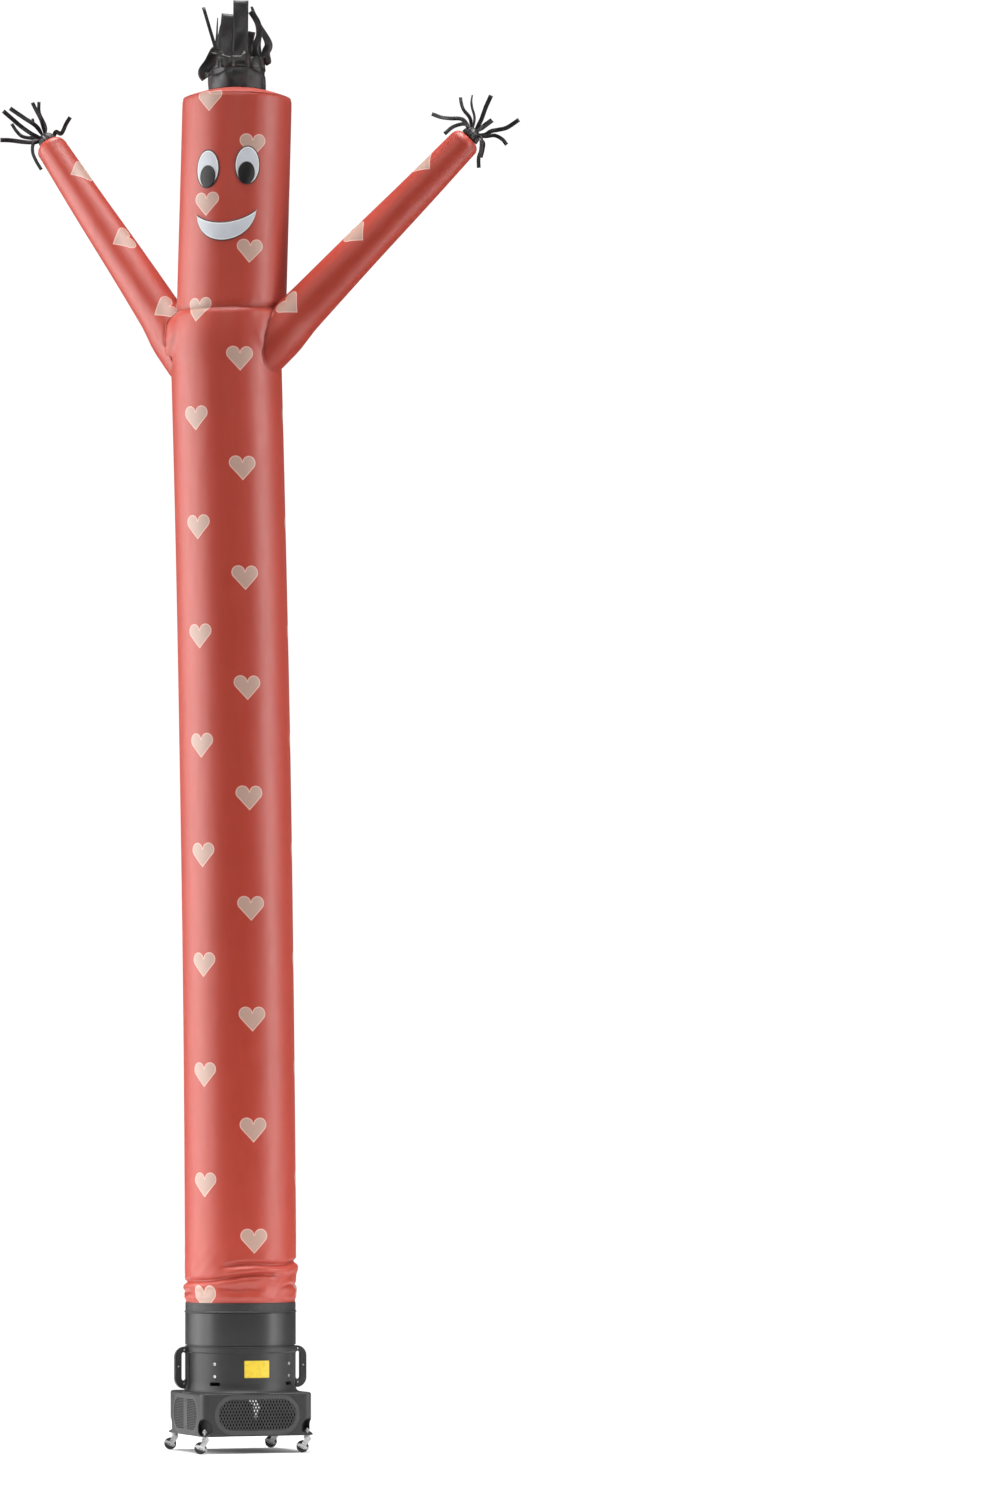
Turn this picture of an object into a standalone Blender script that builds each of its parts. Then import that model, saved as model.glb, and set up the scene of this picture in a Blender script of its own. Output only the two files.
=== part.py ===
"""An inflatable air dancer standing on its blower, modelled piece by piece.

Units are metres and +Z is up. The front faces -Y. The cloth tube rises from the
blower's round collar, leans to its right as it climbs, and carries a capped head,
two arms, a sewn-on face and three satin tufts. The blower stands on four casters.
"""

import math

import bmesh
import bpy
from mathutils import Matrix, Vector

TURN = 2 * math.pi

# The blower's axis is this far from the middle of the whole, so that the origin
# lies at the middle of the outline on the floor.
BLOWER_X = -0.0692
BLOWER_Y = -0.0796

# Cloth tubes
CLOTH = 0.0015
GAP = 0.0003
TUBE_SIDES = 32
BODY_RADIUS = 0.226
HEAD_RADIUS = 0.2245
NECK_RADIUS = 0.2205
NECK_Z = 4.670
HEAD_TOP = 5.535
HEAD_CORNER = 0.0035
DOME_HEIGHT = 0.055
SHOULDER_SWELL = 0.010
SHOULDER_Z = 4.545
SHOULDER_REACH = 0.125

# Hem, the band round it, and the collar under it
HEM_RADIUS = 0.2213
HEM_BOTTOM = 0.566
BAND_BOTTOM = 0.5625
BAND_TOP = 0.603
BAND_WALL = 0.0022
BAND_LIP = 0.0040
BAND_LIP_HEIGHT = 0.0045
COLLAR_RADIUS = 0.2245
COLLAR_WALL = 0.0030
COLLAR_BOTTOM = 0.4268
COLLAR_TOP = 0.600
COLLAR_STEP = 0.0005

# Folds gathered above the hem. Angles in degrees from the front, positive to +X.
# Each trough runs from one end to the other, with a roll of cloth under it.
FOLD_COLUMNS = ("from_angle", "from_z", "to_angle", "to_z", "trough", "half_width", "roll")
FOLDS = (
    (96, 0.766, -14, 0.754, 0.0085, 0.011, 0.0065),
    (-98, 0.679, 42, 0.722, 0.0080, 0.010, 0.0045),
    (104, 0.676, 52, 0.668, 0.0055, 0.009, 0.0025),
    (262, 0.679, 150, 0.716, 0.0080, 0.011, 0.0050),
    (96, 0.766, 205, 0.748, 0.0075, 0.012, 0.0055),
    (-104, 0.648, -62, 0.640, 0.0050, 0.010, 0.0015),
    (-30, 0.664, 22, 0.655, 0.0030, 0.012, 0.0020),
)
FOLD_FADE = 22.0
FOLD_WAVE = 0.004
FOLD_WAVE_TURNS = 3.2
ROLL_BELOW = 2.6
ROLL_WIDTH = 1.9
FOLDS_TOP = 0.90
HEM_CLEAR = 0.0025
HEM_SWELL_RISE = 0.020

# Rounding of the cloth where it meets the neck seam and the cap's seam
NECK_PULL = 0.030
NECK_SWELL_RISE = 0.028
HEAD_CORNER_RISE = 0.018
SHOULDER_EVEN = 0.35

# Arms: where each leaves the body, and where it ends
ARM_SIDES = 18
ARM_COLUMNS = ("name", "root", "tip")
ARMS = (
    ("arm_left", (-0.262, 0.046, 4.545), (-0.811, 0.400, 5.423)),
    ("arm_right", (0.156, -0.082, 4.545), (0.933, -0.190, 5.343)),
)
ARM_ROOT_RADIUS = 0.096
ARM_TIP_RADIUS = 0.0635
ARM_FLARE = 0.010
ARM_INSIDE = 0.10
ARM_TIP_CORNER = 0.034
ARM_FLARE_END = 0.04
ARM_SHARES = (0.14, 0.35, 0.60, 0.82, 1.0)
MOUTH_GAP = 0.0004

# Face patches, sewn over the head: angle of the middle from the front, height
FACE_LIFT = 0.0006
PATCH = 0.0010
PATCH_STRIP = 0.020
EYE_Z = 5.217
EYE_SIZE = (0.107, 0.159)
PUPIL_DROP = 0.0315
PUPIL_SIZE = (0.069, 0.092)
EYE_ANGLES = {"left": -31.0, "right": 10.8}
PUPIL_SHIFT = {"left": 0.0, "right": -0.003}
SMILE_ANGLE = -10.0
SMILE_HALF_WIDTH = 0.131
SMILE_TIP_Z = 5.035
SMILE_TILT = 0.009
SMILE_DROP_TOP = 0.038
SMILE_DROP_BOTTOM = 0.110

# Hair tuft on the cap
HAIR_RADIUS = 0.1175
HAIR_SKIRT = 0.070
HAIR_ROOT_BAND = 0.012
SATIN = 0.0012
HAIR_GATHERS = 5
HAIR_GATHER_DEPTH = 0.006
HAIR_SIDES = 25
HAIR_BAND_SIDES = 50
HAIR_SEAT_GAP = 0.0005
# The skirt's rows, each its rise and how far it swells out
HAIR_ROWS = ((0.0, 0.0), (0.030, 0.0035), (HAIR_SKIRT, -0.0045))

# Blower, in its own frame, which is turned about +Z
BLOWER_YAW = math.radians(17.0)
BOX_HALF = 0.235
BOX_BOTTOM = 0.077
BOX_TOP = 0.251
BOX_CORNER = 0.035
BOX_EDGE = 0.009
WALL = 0.004
DRUM_RADIUS = 0.2205
RING_RADIUS = 0.2258
RING_BOTTOM = 0.402
RING_TOP = 0.4265
SPIGOT_RADIUS = 0.2190
SPIGOT_TOP = 0.497
BORE_RADIUS = 0.2155
FLARE_FOOT = 0.236
FLARE = ((0.2372, 0.2465), (0.2300, 0.2570), (0.2240, 0.2700), (DRUM_RADIUS, 0.2900))
COLUMN_CHAMFER = 0.088
FOOT_RADIUS = 0.024
FOOT_BOTTOM = 0.075
FOOT_TOP = 0.089
POCKET_RADIUS = 0.034
POCKET_BACK = 0.032
POCKET_RISE = 0.022
FOOT_FLOOR = 0.004
OVERCUT = 0.02
STEM_PLACE = 0.215
STEM_RADIUS = 0.005
NUT_RADIUS = 0.0098
NUT_HEIGHT = 0.008

# Grilles: obround panels let into each side of the box
PANEL_SIZE = (0.374, 0.176)
PANEL_RECESS = 0.0030
PANEL_THICK = 0.0022
MESH_SIZE = (0.338, 0.141)
MESH_EDGE = 0.003
PANEL_Z = 0.1665
PORT_DEPTH = 0.060
SLOT_COUNT = 9
SLOT_PITCH = 0.034
SLOT_WIDTH = 0.020
SLOT_END = 0.002

# Handles, plate, bolts and vents on the drum
HANDLE_OUT = 0.2785
HANDLE_TOP = 0.4245
HANDLE_BOTTOM = 0.2545
HANDLE_THICK = 0.018
HANDLE_CORNER = 0.042
HANDLE_CLEAR = 0.022
HANDLE_EDGE = 0.0022
HANDLE_SLOT_Z = (0.288, 0.402)
HANDLE_SLOT_X = (0.2325, 0.2510)
PLATE_SIZE = (0.118, 0.075)
PLATE_Z = 0.3405
PLATE_ANGLE = 0.9
PLATE_THICK = 0.001
BOLT_ANGLES = (-45.0, 45.0, 135.0, 225.0)
BOLT_HEIGHTS = (0.3075, 0.3570)
BOLT_RADIUS = 0.0055
BOLT_HEAD = 0.0030
VENT_SIZE = (0.046, 0.014)
VENT_Z = 0.2770

# Casters
WHEEL_SIDES = 20
WHEEL_RADIUS = 0.025
WHEEL_WIDTH = 0.018
TREAD_CHAMFER = 0.0018
AXLE_RADIUS = 0.004
RUNNING_GAP = 0.0003
TRAIL = 0.018
LEG_INNER = 0.0105
LEG_THICK = 0.0020
YOKE_BOTTOM = 0.0545
YOKE_TOP = 0.0580
HEAD_DISC_TOP = 0.0668
HEAD_DISC_RADIUS = 0.0150
CHEEK_BACK = -0.011
CHEEK_FRONT = 0.016
CHEEK_ROUND = 0.0085
AXLE_STANDS = 0.001
NUT_STANDS = 0.004
STEM_SINKS = 0.003
BRAKE_THICK = 0.0015
BRAKE_LENGTH = 0.068
BRAKE_WIDTH = 0.021
BRAKE_ROUND = 1.3
BRAKE_TILT = math.radians(-24.0)
CASTER_COLUMNS = ("name", "side_x", "side_y", "swivel_degrees")
CASTERS = (
    ("front_left", -1, -1, 6.0),
    ("front_right", 1, -1, -4.0),
    ("rear_left", -1, 1, 4.0),
    ("rear_right", 1, 1, -8.0),
)

COLOURS = {
    "cloth": ((0.520, 0.072, 0.045), 0.42, 0.0),
    "white_cloth": ((0.75, 0.75, 0.77), 0.50, 0.0),
    "black_cloth": ((0.020, 0.020, 0.020), 0.45, 0.0),
    "satin": ((0.028, 0.028, 0.030), 0.38, 0.0),
    "collar": ((0.052, 0.052, 0.055), 0.38, 0.0),
    "plastic": ((0.060, 0.060, 0.064), 0.62, 0.0),
    "plate": ((0.780, 0.560, 0.060), 0.45, 0.0),
    "zinc": ((0.560, 0.560, 0.560), 0.32, 1.0),
    "tyre": ((0.030, 0.030, 0.032), 0.60, 0.0),
}


# ------------------------------------------------------------------ scene helpers


def clear_scene():
    for obj in list(bpy.data.objects):
        bpy.data.objects.remove(obj, do_unlink=True)


def material(name):
    found = bpy.data.materials.get(name)
    if found:
        return found
    colour, roughness, metallic = COLOURS[name]
    made = bpy.data.materials.new(name)
    made.use_nodes = True
    shader = made.node_tree.nodes["Principled BSDF"]
    shader.inputs["Base Color"].default_value = (*colour, 1.0)
    shader.inputs["Roughness"].default_value = roughness
    shader.inputs["Metallic"].default_value = metallic
    return made


def empty(name, parent=None, place=(0, 0, 0), turn_z=0.0):
    made = bpy.data.objects.new(name, None)
    PARTS.objects.link(made)
    made.parent = parent
    made.location = place
    made.rotation_euler = (0, 0, turn_z)
    return made


def node(name, mesh, finish, parent, place=(0, 0, 0), turn_z=0.0):
    """One sub-part: a named object with its own finish."""
    made = bpy.data.objects.new(name, mesh)
    PARTS.objects.link(made)
    made.parent = parent
    made.location = place
    made.rotation_euler = (0, 0, turn_z)
    mesh.materials.clear()
    mesh.materials.append(material(finish))
    return made


def cutter(name, mesh, parent, place=(0, 0, 0), turn_z=0.0, group=None):
    made = bpy.data.objects.new(name, mesh)
    (group or CUTTERS).objects.link(made)
    made.parent = parent
    made.location = place
    made.rotation_euler = (0, 0, turn_z)
    made.hide_render = True
    made.display_type = "WIRE"
    return made


def cutter_group(name):
    group = bpy.data.collections.new(name)
    CUTTERS.children.link(group)
    return group


def combine(obj, operation, other):
    """A Boolean with one object, or with every object of a collection."""
    step = obj.modifiers.new(operation.lower(), "BOOLEAN")
    step.operation = operation
    step.solver = "EXACT"
    if isinstance(other, bpy.types.Collection):
        step.operand_type = "COLLECTION"
        step.collection = other
    else:
        step.object = other
    return step


def thicken(obj, thickness, outward=False):
    step = obj.modifiers.new("wall", "SOLIDIFY")
    step.thickness = thickness
    step.offset = 1.0 if outward else -1.0
    return step


def face_away(bm, middle):
    """Turns the faces of an open sheet away from a point behind it."""
    for face in bm.faces:
        face.normal_update()
        if face.normal.dot(face.calc_center_median() - middle) < 0:
            face.normal_flip()


def finish_mesh(bm, name, smooth_angle=None, turn=True):
    if turn:
        bmesh.ops.recalc_face_normals(bm, faces=bm.faces)
    mesh = bpy.data.meshes.new(name)
    bm.to_mesh(mesh)
    bm.free()
    if smooth_angle is not None:
        mesh.shade_smooth()
        mesh.set_sharp_from_angle(angle=math.radians(smooth_angle))
    return mesh


# ------------------------------------------------------------------ shape helpers


def smooth(t):
    t = min(1.0, max(0.0, t))
    return t * t * (3 - 2 * t)


def mix(a, b, t):
    return a + (b - a) * t


def turned(profile, sides, close=False):
    """A surface spun about Z from (radius, z) points, merged at the axis."""
    bm = bmesh.new()
    points = [bm.verts.new((r, 0, z)) for r, z in profile]
    edges = [bm.edges.new(pair) for pair in zip(points, points[1:])]
    if close:
        edges.append(bm.edges.new((points[-1], points[0])))
    bmesh.ops.spin(
        bm,
        geom=points + edges,
        axis=(0, 0, 1),
        cent=(0, 0, 0),
        steps=sides,
        angle=TURN,
        use_merge=True,
    )
    bmesh.ops.remove_doubles(bm, verts=bm.verts, dist=0.00001)
    return bm


def box_mesh(low, high):
    bm = bmesh.new()
    bmesh.ops.create_cube(bm, size=1.0)
    size = Vector(high) - Vector(low)
    middle = (Vector(high) + Vector(low)) / 2
    bmesh.ops.scale(bm, vec=size, verts=bm.verts)
    bmesh.ops.translate(bm, vec=middle, verts=bm.verts)
    return bm


def rod_mesh(radius, start, end, sides):
    """A capped cylinder between two points."""
    bm = bmesh.new()
    start = Vector(start)
    end = Vector(end)
    along = end - start
    turn = along.to_track_quat("Z", "Y").to_matrix().to_4x4()
    bmesh.ops.create_cone(
        bm,
        cap_ends=True,
        segments=sides,
        radius1=radius,
        radius2=radius,
        depth=along.length,
        matrix=Matrix.Translation((start + end) / 2) @ turn,
    )
    return bm


def plate_mesh(outline, near_y, far_y):
    """A flat outline of (x, z) points, drawn out from near_y to far_y."""
    bm = bmesh.new()
    face = bm.faces.new([bm.verts.new((x, near_y, z)) for x, z in outline])
    made = bmesh.ops.extrude_face_region(bm, geom=[face])
    raised = [v for v in made["geom"] if isinstance(v, bmesh.types.BMVert)]
    bmesh.ops.translate(bm, vec=(0, far_y - near_y, 0), verts=raised)
    return bm


def arc(centre, radius, start, end, steps):
    """Points on an arc in a plane, angles in degrees from the first axis."""
    angles = (math.radians(mix(start, end, i / steps)) for i in range(steps + 1))
    return [(centre[0] + radius * math.cos(a), centre[1] + radius * math.sin(a)) for a in angles]


def obround(size, steps=7, centre_z=0.0):
    width, height = size
    radius = height / 2
    run = width / 2 - radius
    right = arc((run, centre_z), radius, -90, 90, steps)
    left = arc((-run, centre_z), radius, 90, 270, steps)
    return right + left


# ------------------------------------------------------------------ the cloth tube


def lean(z):
    """Sideways place of the tube's axis at a height, from the blower's axis."""
    climb = max(0.0, (z - 0.85) / 3.55)
    body = -(0.019 * climb + 0.038 * climb * climb)
    head = -0.034 + 0.0256 * (z - 4.75)
    return mix(body, head, smooth((z - 4.44) / 0.28))


def on_tube(angle, radius, z):
    """A point at an angle from the front, positive to +X, round the tube's axis."""
    return Vector((lean(z) + radius * math.sin(angle), -radius * math.cos(angle), z))


def fold_depth(angle, z):
    """How far the gathered cloth above the hem moves in or out."""
    degrees = math.degrees(angle)
    moved = 0.0
    for row in FOLDS:
        fold = dict(zip(FOLD_COLUMNS, row))
        low = min(fold["from_angle"], fold["to_angle"])
        high = max(fold["from_angle"], fold["to_angle"])
        for turn in (degrees - 360, degrees, degrees + 360):
            fade = smooth((turn - low) / FOLD_FADE + 0.5)
            fade *= smooth((high - turn) / FOLD_FADE + 0.5)
            if fade <= 0:
                continue
            share = (turn - fold["from_angle"]) / (fold["to_angle"] - fold["from_angle"])
            wave = FOLD_WAVE * math.sin(FOLD_WAVE_TURNS * math.pi * share)
            above = (z - mix(fold["from_z"], fold["to_z"], share) - wave) / fold["half_width"]
            trough = math.exp(-(above**2))
            roll = math.exp(-(((above + ROLL_BELOW) / ROLL_WIDTH) ** 2))
            moved += fade * (fold["roll"] * roll - fold["trough"] * trough)
    return moved


def body_radius(angle, z):
    leaving = smooth((z - BAND_TOP - HEM_CLEAR) / HEM_SWELL_RISE)
    radius = mix(HEM_RADIUS, BODY_RADIUS, leaving)
    if BAND_TOP < z < FOLDS_TOP:
        radius += leaving * fold_depth(angle, z)
    off = (z - SHOULDER_Z) / SHOULDER_REACH
    sideways = mix(SHOULDER_EVEN, 1.0, math.sin(angle) ** 2)
    radius += SHOULDER_SWELL * max(0.0, 1 - off * off) * sideways
    return mix(radius, NECK_RADIUS, smooth((z - NECK_Z + NECK_PULL) / NECK_PULL) ** 2)


def head_radius(z):
    radius = mix(NECK_RADIUS, HEAD_RADIUS, smooth((z - NECK_Z) / NECK_SWELL_RISE) ** 0.5)
    return radius - HEAD_CORNER * smooth((z - HEAD_TOP) / HEAD_CORNER_RISE + 1) ** 2


def body_heights():
    hem = [HEM_BOTTOM, BAND_TOP + HEM_CLEAR, 0.6125]
    folds = [0.624 + 0.0128 * i for i in range(16)]
    climb = [0.86, 1.4, 2.1, 2.8, 3.4, 4.0, 4.34]
    shoulder = [4.42, 4.50, 4.57, 4.62, 4.645, 4.659, NECK_Z - GAP]
    return hem + folds + climb + shoulder


def head_heights():
    neck = [NECK_Z, 4.679, NECK_Z + NECK_SWELL_RISE]
    return neck + [4.95, 5.25, HEAD_TOP - HEAD_CORNER_RISE, HEAD_TOP - 0.007, HEAD_TOP]


def tube_mesh(name, heights, radius_at):
    bm = turned([(1.0, z) for z in heights], TUBE_SIDES)
    for point in bm.verts:
        angle = math.atan2(point.co.x, -point.co.y)
        point.co = on_tube(angle, radius_at(angle, point.co.z), point.co.z)
    return finish_mesh(bm, name, 60)


def arm_profile(length):
    """Radii along an arm, from inside the body to its rounded end."""
    flared = ARM_ROOT_RADIUS + ARM_FLARE
    rows = [(-ARM_INSIDE, flared), (ARM_FLARE_END, mix(ARM_ROOT_RADIUS, flared, 0.7))]
    straight = length - ARM_TIP_CORNER
    for share in ARM_SHARES:
        rows.append((straight * share, mix(ARM_ROOT_RADIUS, ARM_TIP_RADIUS, share)))
    for degrees in (35, 65, 90):
        turn = math.radians(degrees)
        radius = ARM_TIP_RADIUS - ARM_TIP_CORNER * (1 - math.cos(turn))
        rows.append((straight + ARM_TIP_CORNER * math.sin(turn), radius))
    return rows


def arm_surface(row):
    """The arm's open outer surface, standing in the body's frame."""
    arm = dict(zip(ARM_COLUMNS, row))
    root = Vector(arm["root"])
    along = Vector(arm["tip"]) - root
    bm = turned([(r, z) for z, r in arm_profile(along.length)], ARM_SIDES)
    end = max(point.co.z for point in bm.verts)
    rim = [e for e in bm.edges if e.is_boundary and min(v.co.z for v in e.verts) > end - 0.001]
    bmesh.ops.contextual_create(bm, geom=rim)
    place = Matrix.Translation(root) @ along.to_track_quat("Z", "Y").to_matrix().to_4x4()
    bmesh.ops.transform(bm, matrix=place, verts=bm.verts)
    bmesh.ops.recalc_face_normals(bm, faces=bm.faces)
    return bm


def arm_end(row):
    """Middle of the arm's flat end, and the way it points."""
    arm = dict(zip(ARM_COLUMNS, row))
    root = Vector(arm["root"])
    along = Vector(arm["tip"]) - root
    height = arm_profile(along.length)[-1][0]
    return root + along.normalized() * height, along.normalized()


def close_ends(bm):
    bmesh.ops.holes_fill(bm, edges=[e for e in bm.edges if e.is_boundary], sides=0)


def build_cloth(parent):
    body = node("body_tube", tube_mesh("body_tube", body_heights(), body_radius), "cloth", parent)
    thicken(body, CLOTH)

    core_heights = [z for z in body_heights() if z > 3.9] + head_heights()[:4]
    core = turned([(1.0, z) for z in core_heights], TUBE_SIDES)
    for point in core.verts:
        angle = math.atan2(point.co.x, -point.co.y)
        z = point.co.z
        radius = body_radius(angle, z) if z < NECK_Z else head_radius(z)
        point.co = on_tube(angle, radius + GAP, z)
    close_ends(core)
    body_core = cutter("body_core", finish_mesh(core, "body_core"), parent)

    for row in ARMS:
        arm = node(row[0], finish_mesh(arm_surface(row), row[0], 60), "cloth", parent)
        thicken(arm, CLOTH)
        combine(arm, "DIFFERENCE", body_core)
        hole = arm_surface(row)
        for point in hole.verts:
            point.co -= point.normal * (CLOTH + MOUTH_GAP)
        close_ends(hole)
        combine(body, "DIFFERENCE", cutter(row[0] + "_mouth", finish_mesh(hole, "mouth"), parent))

    head = tube_mesh("head_tube", head_heights(), lambda angle, z: head_radius(z))
    thicken(node("head_tube", head, "cloth", parent), CLOTH)

    rim = head_radius(HEAD_TOP)
    shares = (1.0, 0.955, 0.80, 0.54, 0.26, 0.0)
    cap = turned([(rim * s, HEAD_TOP + GAP + dome(rim * s)) for s in shares], TUBE_SIDES)
    for point in cap.verts:
        point.co.x += lean(point.co.z)
    cap_node = node("head_cap", finish_mesh(cap, "head_cap", 60), "cloth", parent)
    thicken(cap_node, CLOTH, outward=True)


def dome(radius):
    """Rise of the cap above its seam at a distance from the head's axis."""
    share = radius / head_radius(HEAD_TOP)
    return DOME_HEIGHT * (1 - share * share)


# ------------------------------------------------------------------ the face


def patch(name, finish, angle, height, outline, lift, parent):
    """A flat cut outline of (across, up) points laid round the head."""
    bm = bmesh.new()
    bm.faces.new([bm.verts.new((u, 0, v)) for u, v in outline])
    reach = max(u for u, v in outline)
    count = math.ceil(reach / PATCH_STRIP)
    for i in range(-count, count + 1):
        bmesh.ops.bisect_plane(
            bm,
            geom=bm.verts[:] + bm.edges[:] + bm.faces[:],
            plane_co=(i * PATCH_STRIP, 0, 0),
            plane_no=(1, 0, 0),
            dist=0.0001,
        )
    radius = HEAD_RADIUS + FACE_LIFT + lift
    for point in bm.verts:
        turn = math.radians(angle) + point.co.x / HEAD_RADIUS
        point.co = on_tube(turn, radius, height + point.co.z)
    face_away(bm, on_tube(0.0, 0.0, height))
    thicken(node(name, finish_mesh(bm, name, turn=False), finish, parent), PATCH, outward=True)


def ellipse(size, sides=22, across=0.0):
    angles = (TURN * (i + 0.5) / sides for i in range(sides))
    return [(across + size[0] / 2 * math.cos(a), size[1] / 2 * math.sin(a)) for a in angles]


def crescent():
    """The smile: two arcs that meet at its tips, the right tip a little higher."""

    def drop(across, deepest):
        radius = (SMILE_HALF_WIDTH**2 + deepest**2) / (2 * deepest)
        return math.sqrt(radius**2 - across**2) - (radius - deepest)

    steps = 12
    span = [SMILE_HALF_WIDTH * math.sin(math.pi / 2 * (2 * i / steps - 1)) for i in range(steps + 1)]
    rise = SMILE_TILT / SMILE_HALF_WIDTH
    upper = [(u, rise * u - drop(u, SMILE_DROP_TOP)) for u in span]
    lower = [(u, rise * u - drop(u, SMILE_DROP_BOTTOM)) for u in reversed(span[1:-1])]
    return upper + lower


def build_face(parent):
    for side, angle in EYE_ANGLES.items():
        patch("eye_" + side, "white_cloth", angle, EYE_Z, ellipse(EYE_SIZE), 0.0, parent)
        across = PUPIL_SHIFT[side]
        outline = ellipse(PUPIL_SIZE, 18, across)
        over_eye = PATCH + FACE_LIFT
        pupil_z = EYE_Z - PUPIL_DROP
        patch("pupil_" + side, "black_cloth", angle, pupil_z, outline, over_eye, parent)
    patch("smile", "white_cloth", SMILE_ANGLE, SMILE_TIP_Z, crescent(), 0.0, parent)


# ------------------------------------------------------------------ satin tufts

# Strips of the hair tuft. Each has its width, the turn of its flat side from root to
# tip in degrees, and its run as (x, y, up) points in millimetres from the middle of
# the tuft's foot.
STRIP_COLUMNS = ("width", "twist", "run")
HAIR = (
    (0.060, 0, ((14, -96, 130), (14, -88, 190), (14, -82, 260), (15, -76, 356))),
    (0.050, 0, ((-46, -84, 130), (-44, -72, 200), (-34, -62, 303))),
    (0.014, 10, ((-92, -52, 130), (-90, -50, 165), (-112, -48, 240), (-139, -46, 333))),
    (0.012, 75, ((-98, -14, 140), (-86, -16, 200), (-81, -18, 294))),
    (0.022, 60, ((-96, 26, 130), (-80, 28, 190), (-66, 26, 270))),
    (0.030, 0, ((-62, 72, 140), (-52, 66, 210), (-56, 56, 262))),
    (0.034, 0, ((6, 92, 140), (8, 82, 214), (0, 70, 276))),
    (0.030, 20, ((62, 72, 140), (52, 64, 200), (60, 54, 250))),
    (0.020, 50, ((98, 36, 130), (88, 34, 190), (98, 28, 246))),
    (0.030, 10, ((122, -10, 118), (118, -10, 155), (129, -12, 192), (86, -14, 276), (61, -16, 342))),
    (0.026, -20, ((84, -72, 120), (72, -78, 166), (89, -80, 210), (84, -78, 262), (55, -76, 312))),
    (0.026, 0, ((-130, -34, 96), (-142, -36, 74), (-132, -38, 46))),
)

# Strips of the hand tufts, by the same columns, from the middle of each tuft's hub.
HAND_SIDES = 14
HUB_RADIUS = 0.029
HUB_HEIGHT = 0.018
HUB_TAPER = 0.92
HUB_CROWN = 0.58
HUB_CROWN_RISE = 0.005
HUB_SEAT_GAP = 0.0005
HANDS = {
    "hand_tuft_left": (
        (0.013, 0, ((-12, -16, 74), (-24, -14, 112), (-38, -12, 147))),
        (0.011, 0, ((2, 16, 60), (-14, 18, 110), (-12, 20, 156))),
        (0.014, 0, ((-34, -18, 52), (-76, -20, 83), (-131, -22, 121))),
        (0.014, 0, ((-46, -30, 14), (-86, -36, 43), (-121, -40, 74), (-158, -44, 106))),
        (0.013, 30, ((-46, 12, 6), (-84, 20, 12), (-105, 22, 33), (-125, 24, 64))),
        (0.015, 0, ((-44, -10, -14), (-81, -12, -16), (-128, -14, -12), (-171, -16, -11))),
        (0.009, 40, ((38, 8, 15), (56, 8, 30), (78, 10, 20), (88, 10, 30), (102, 10, 62), (119, 10, 90))),
        (0.011, 0, ((-52, -22, -16), (-56, -34, -52), (-42, -44, -90), (-18, -54, -132))),
        (0.009, 0, ((-20, 36, 36), (-36, 44, 66), (-39, 48, 90))),
    ),
    "hand_tuft_right": (
        (0.012, 30, ((-12, -8, 56), (-39, -10, 82), (-50, -12, 108), (-53, -12, 131))),
        (0.009, 60, ((6, 12, 60), (-5, 14, 88), (-9, 16, 111), (-5, 16, 139))),
        (0.014, 0, ((31, -12, 46), (49, -16, 93), (70, -20, 139))),
        (0.017, 0, ((42, 26, 24), (75, 34, 41))),
        (0.014, 20, ((46, -20, -14), (70, -26, -6), (98, -30, -4), (134, -34, 5), (182, -40, 36))),
        (0.013, 0, ((48, 4, -16), (84, 6, -20), (114, 4, -39), (132, 2, -62))),
        (0.013, 10, ((32, -44, -26), (30, -56, -76), (20, -60, -111), (20, -62, -152))),
        (0.010, 0, ((44, 12, -36), (40, 12, -76), (32, 10, -108))),
        (0.013, 0, ((-32, -28, 38), (-80, -40, 26), (-118, -50, -6))),
        (0.013, 60, ((-28, 14, 36), (-50, 22, 46), (-93, 26, 44), (-132, 28, 49), (-170, 30, 63))),
    ),
}


def pull_strip(bm, face, run, width, facing, twist):
    """Draws a thin four-sided strip out of a face, along the points of its run."""
    points = [face.calc_center_median(), *run]
    for i in range(1, len(points)):
        ahead = points[min(i + 1, len(points) - 1)] - points[i - 1]
        along = ahead.normalized()
        flat = facing - along * facing.dot(along)
        flat.normalize()
        flat = Matrix.Rotation(math.radians(twist) * i / (len(points) - 1), 3, along) @ flat
        across = flat.cross(along).normalized()
        corners = [
            points[i] + across * (width / 2 * su) + flat * (SATIN / 2 * sv)
            for su, sv in ((-1, -1), (1, -1), (1, 1), (-1, 1))
        ]
        face = bmesh.ops.extrude_discrete_faces(bm, faces=[face])["faces"][0]
        shift = points[i] - face.calc_center_median()
        loop = [v.co + shift for v in face.verts]
        orders = [
            [corners[(start + step * k) % 4] for k in range(4)]
            for start in range(4)
            for step in (1, -1)
        ]
        best = min(orders, key=lambda order: sum((a - b).length for a, b in zip(loop, order)))
        for vert, place in zip(face.verts, best):
            vert.co = place


def gathered(angle, radius):
    """The skirt's outline: a circle drawn into soft gathers."""
    wave = math.sin(HAIR_GATHERS * angle + 0.7) + 0.5 * math.sin(2 * HAIR_GATHERS * angle + 1.9)
    return radius - HAIR_GATHER_DEPTH * 0.5 * (1 + wave)


def hair_foot():
    z = HEAD_TOP + GAP + dome(HAIR_RADIUS) + CLOTH + HAIR_SEAT_GAP
    return Vector((lean(z), 0, z))


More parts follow.
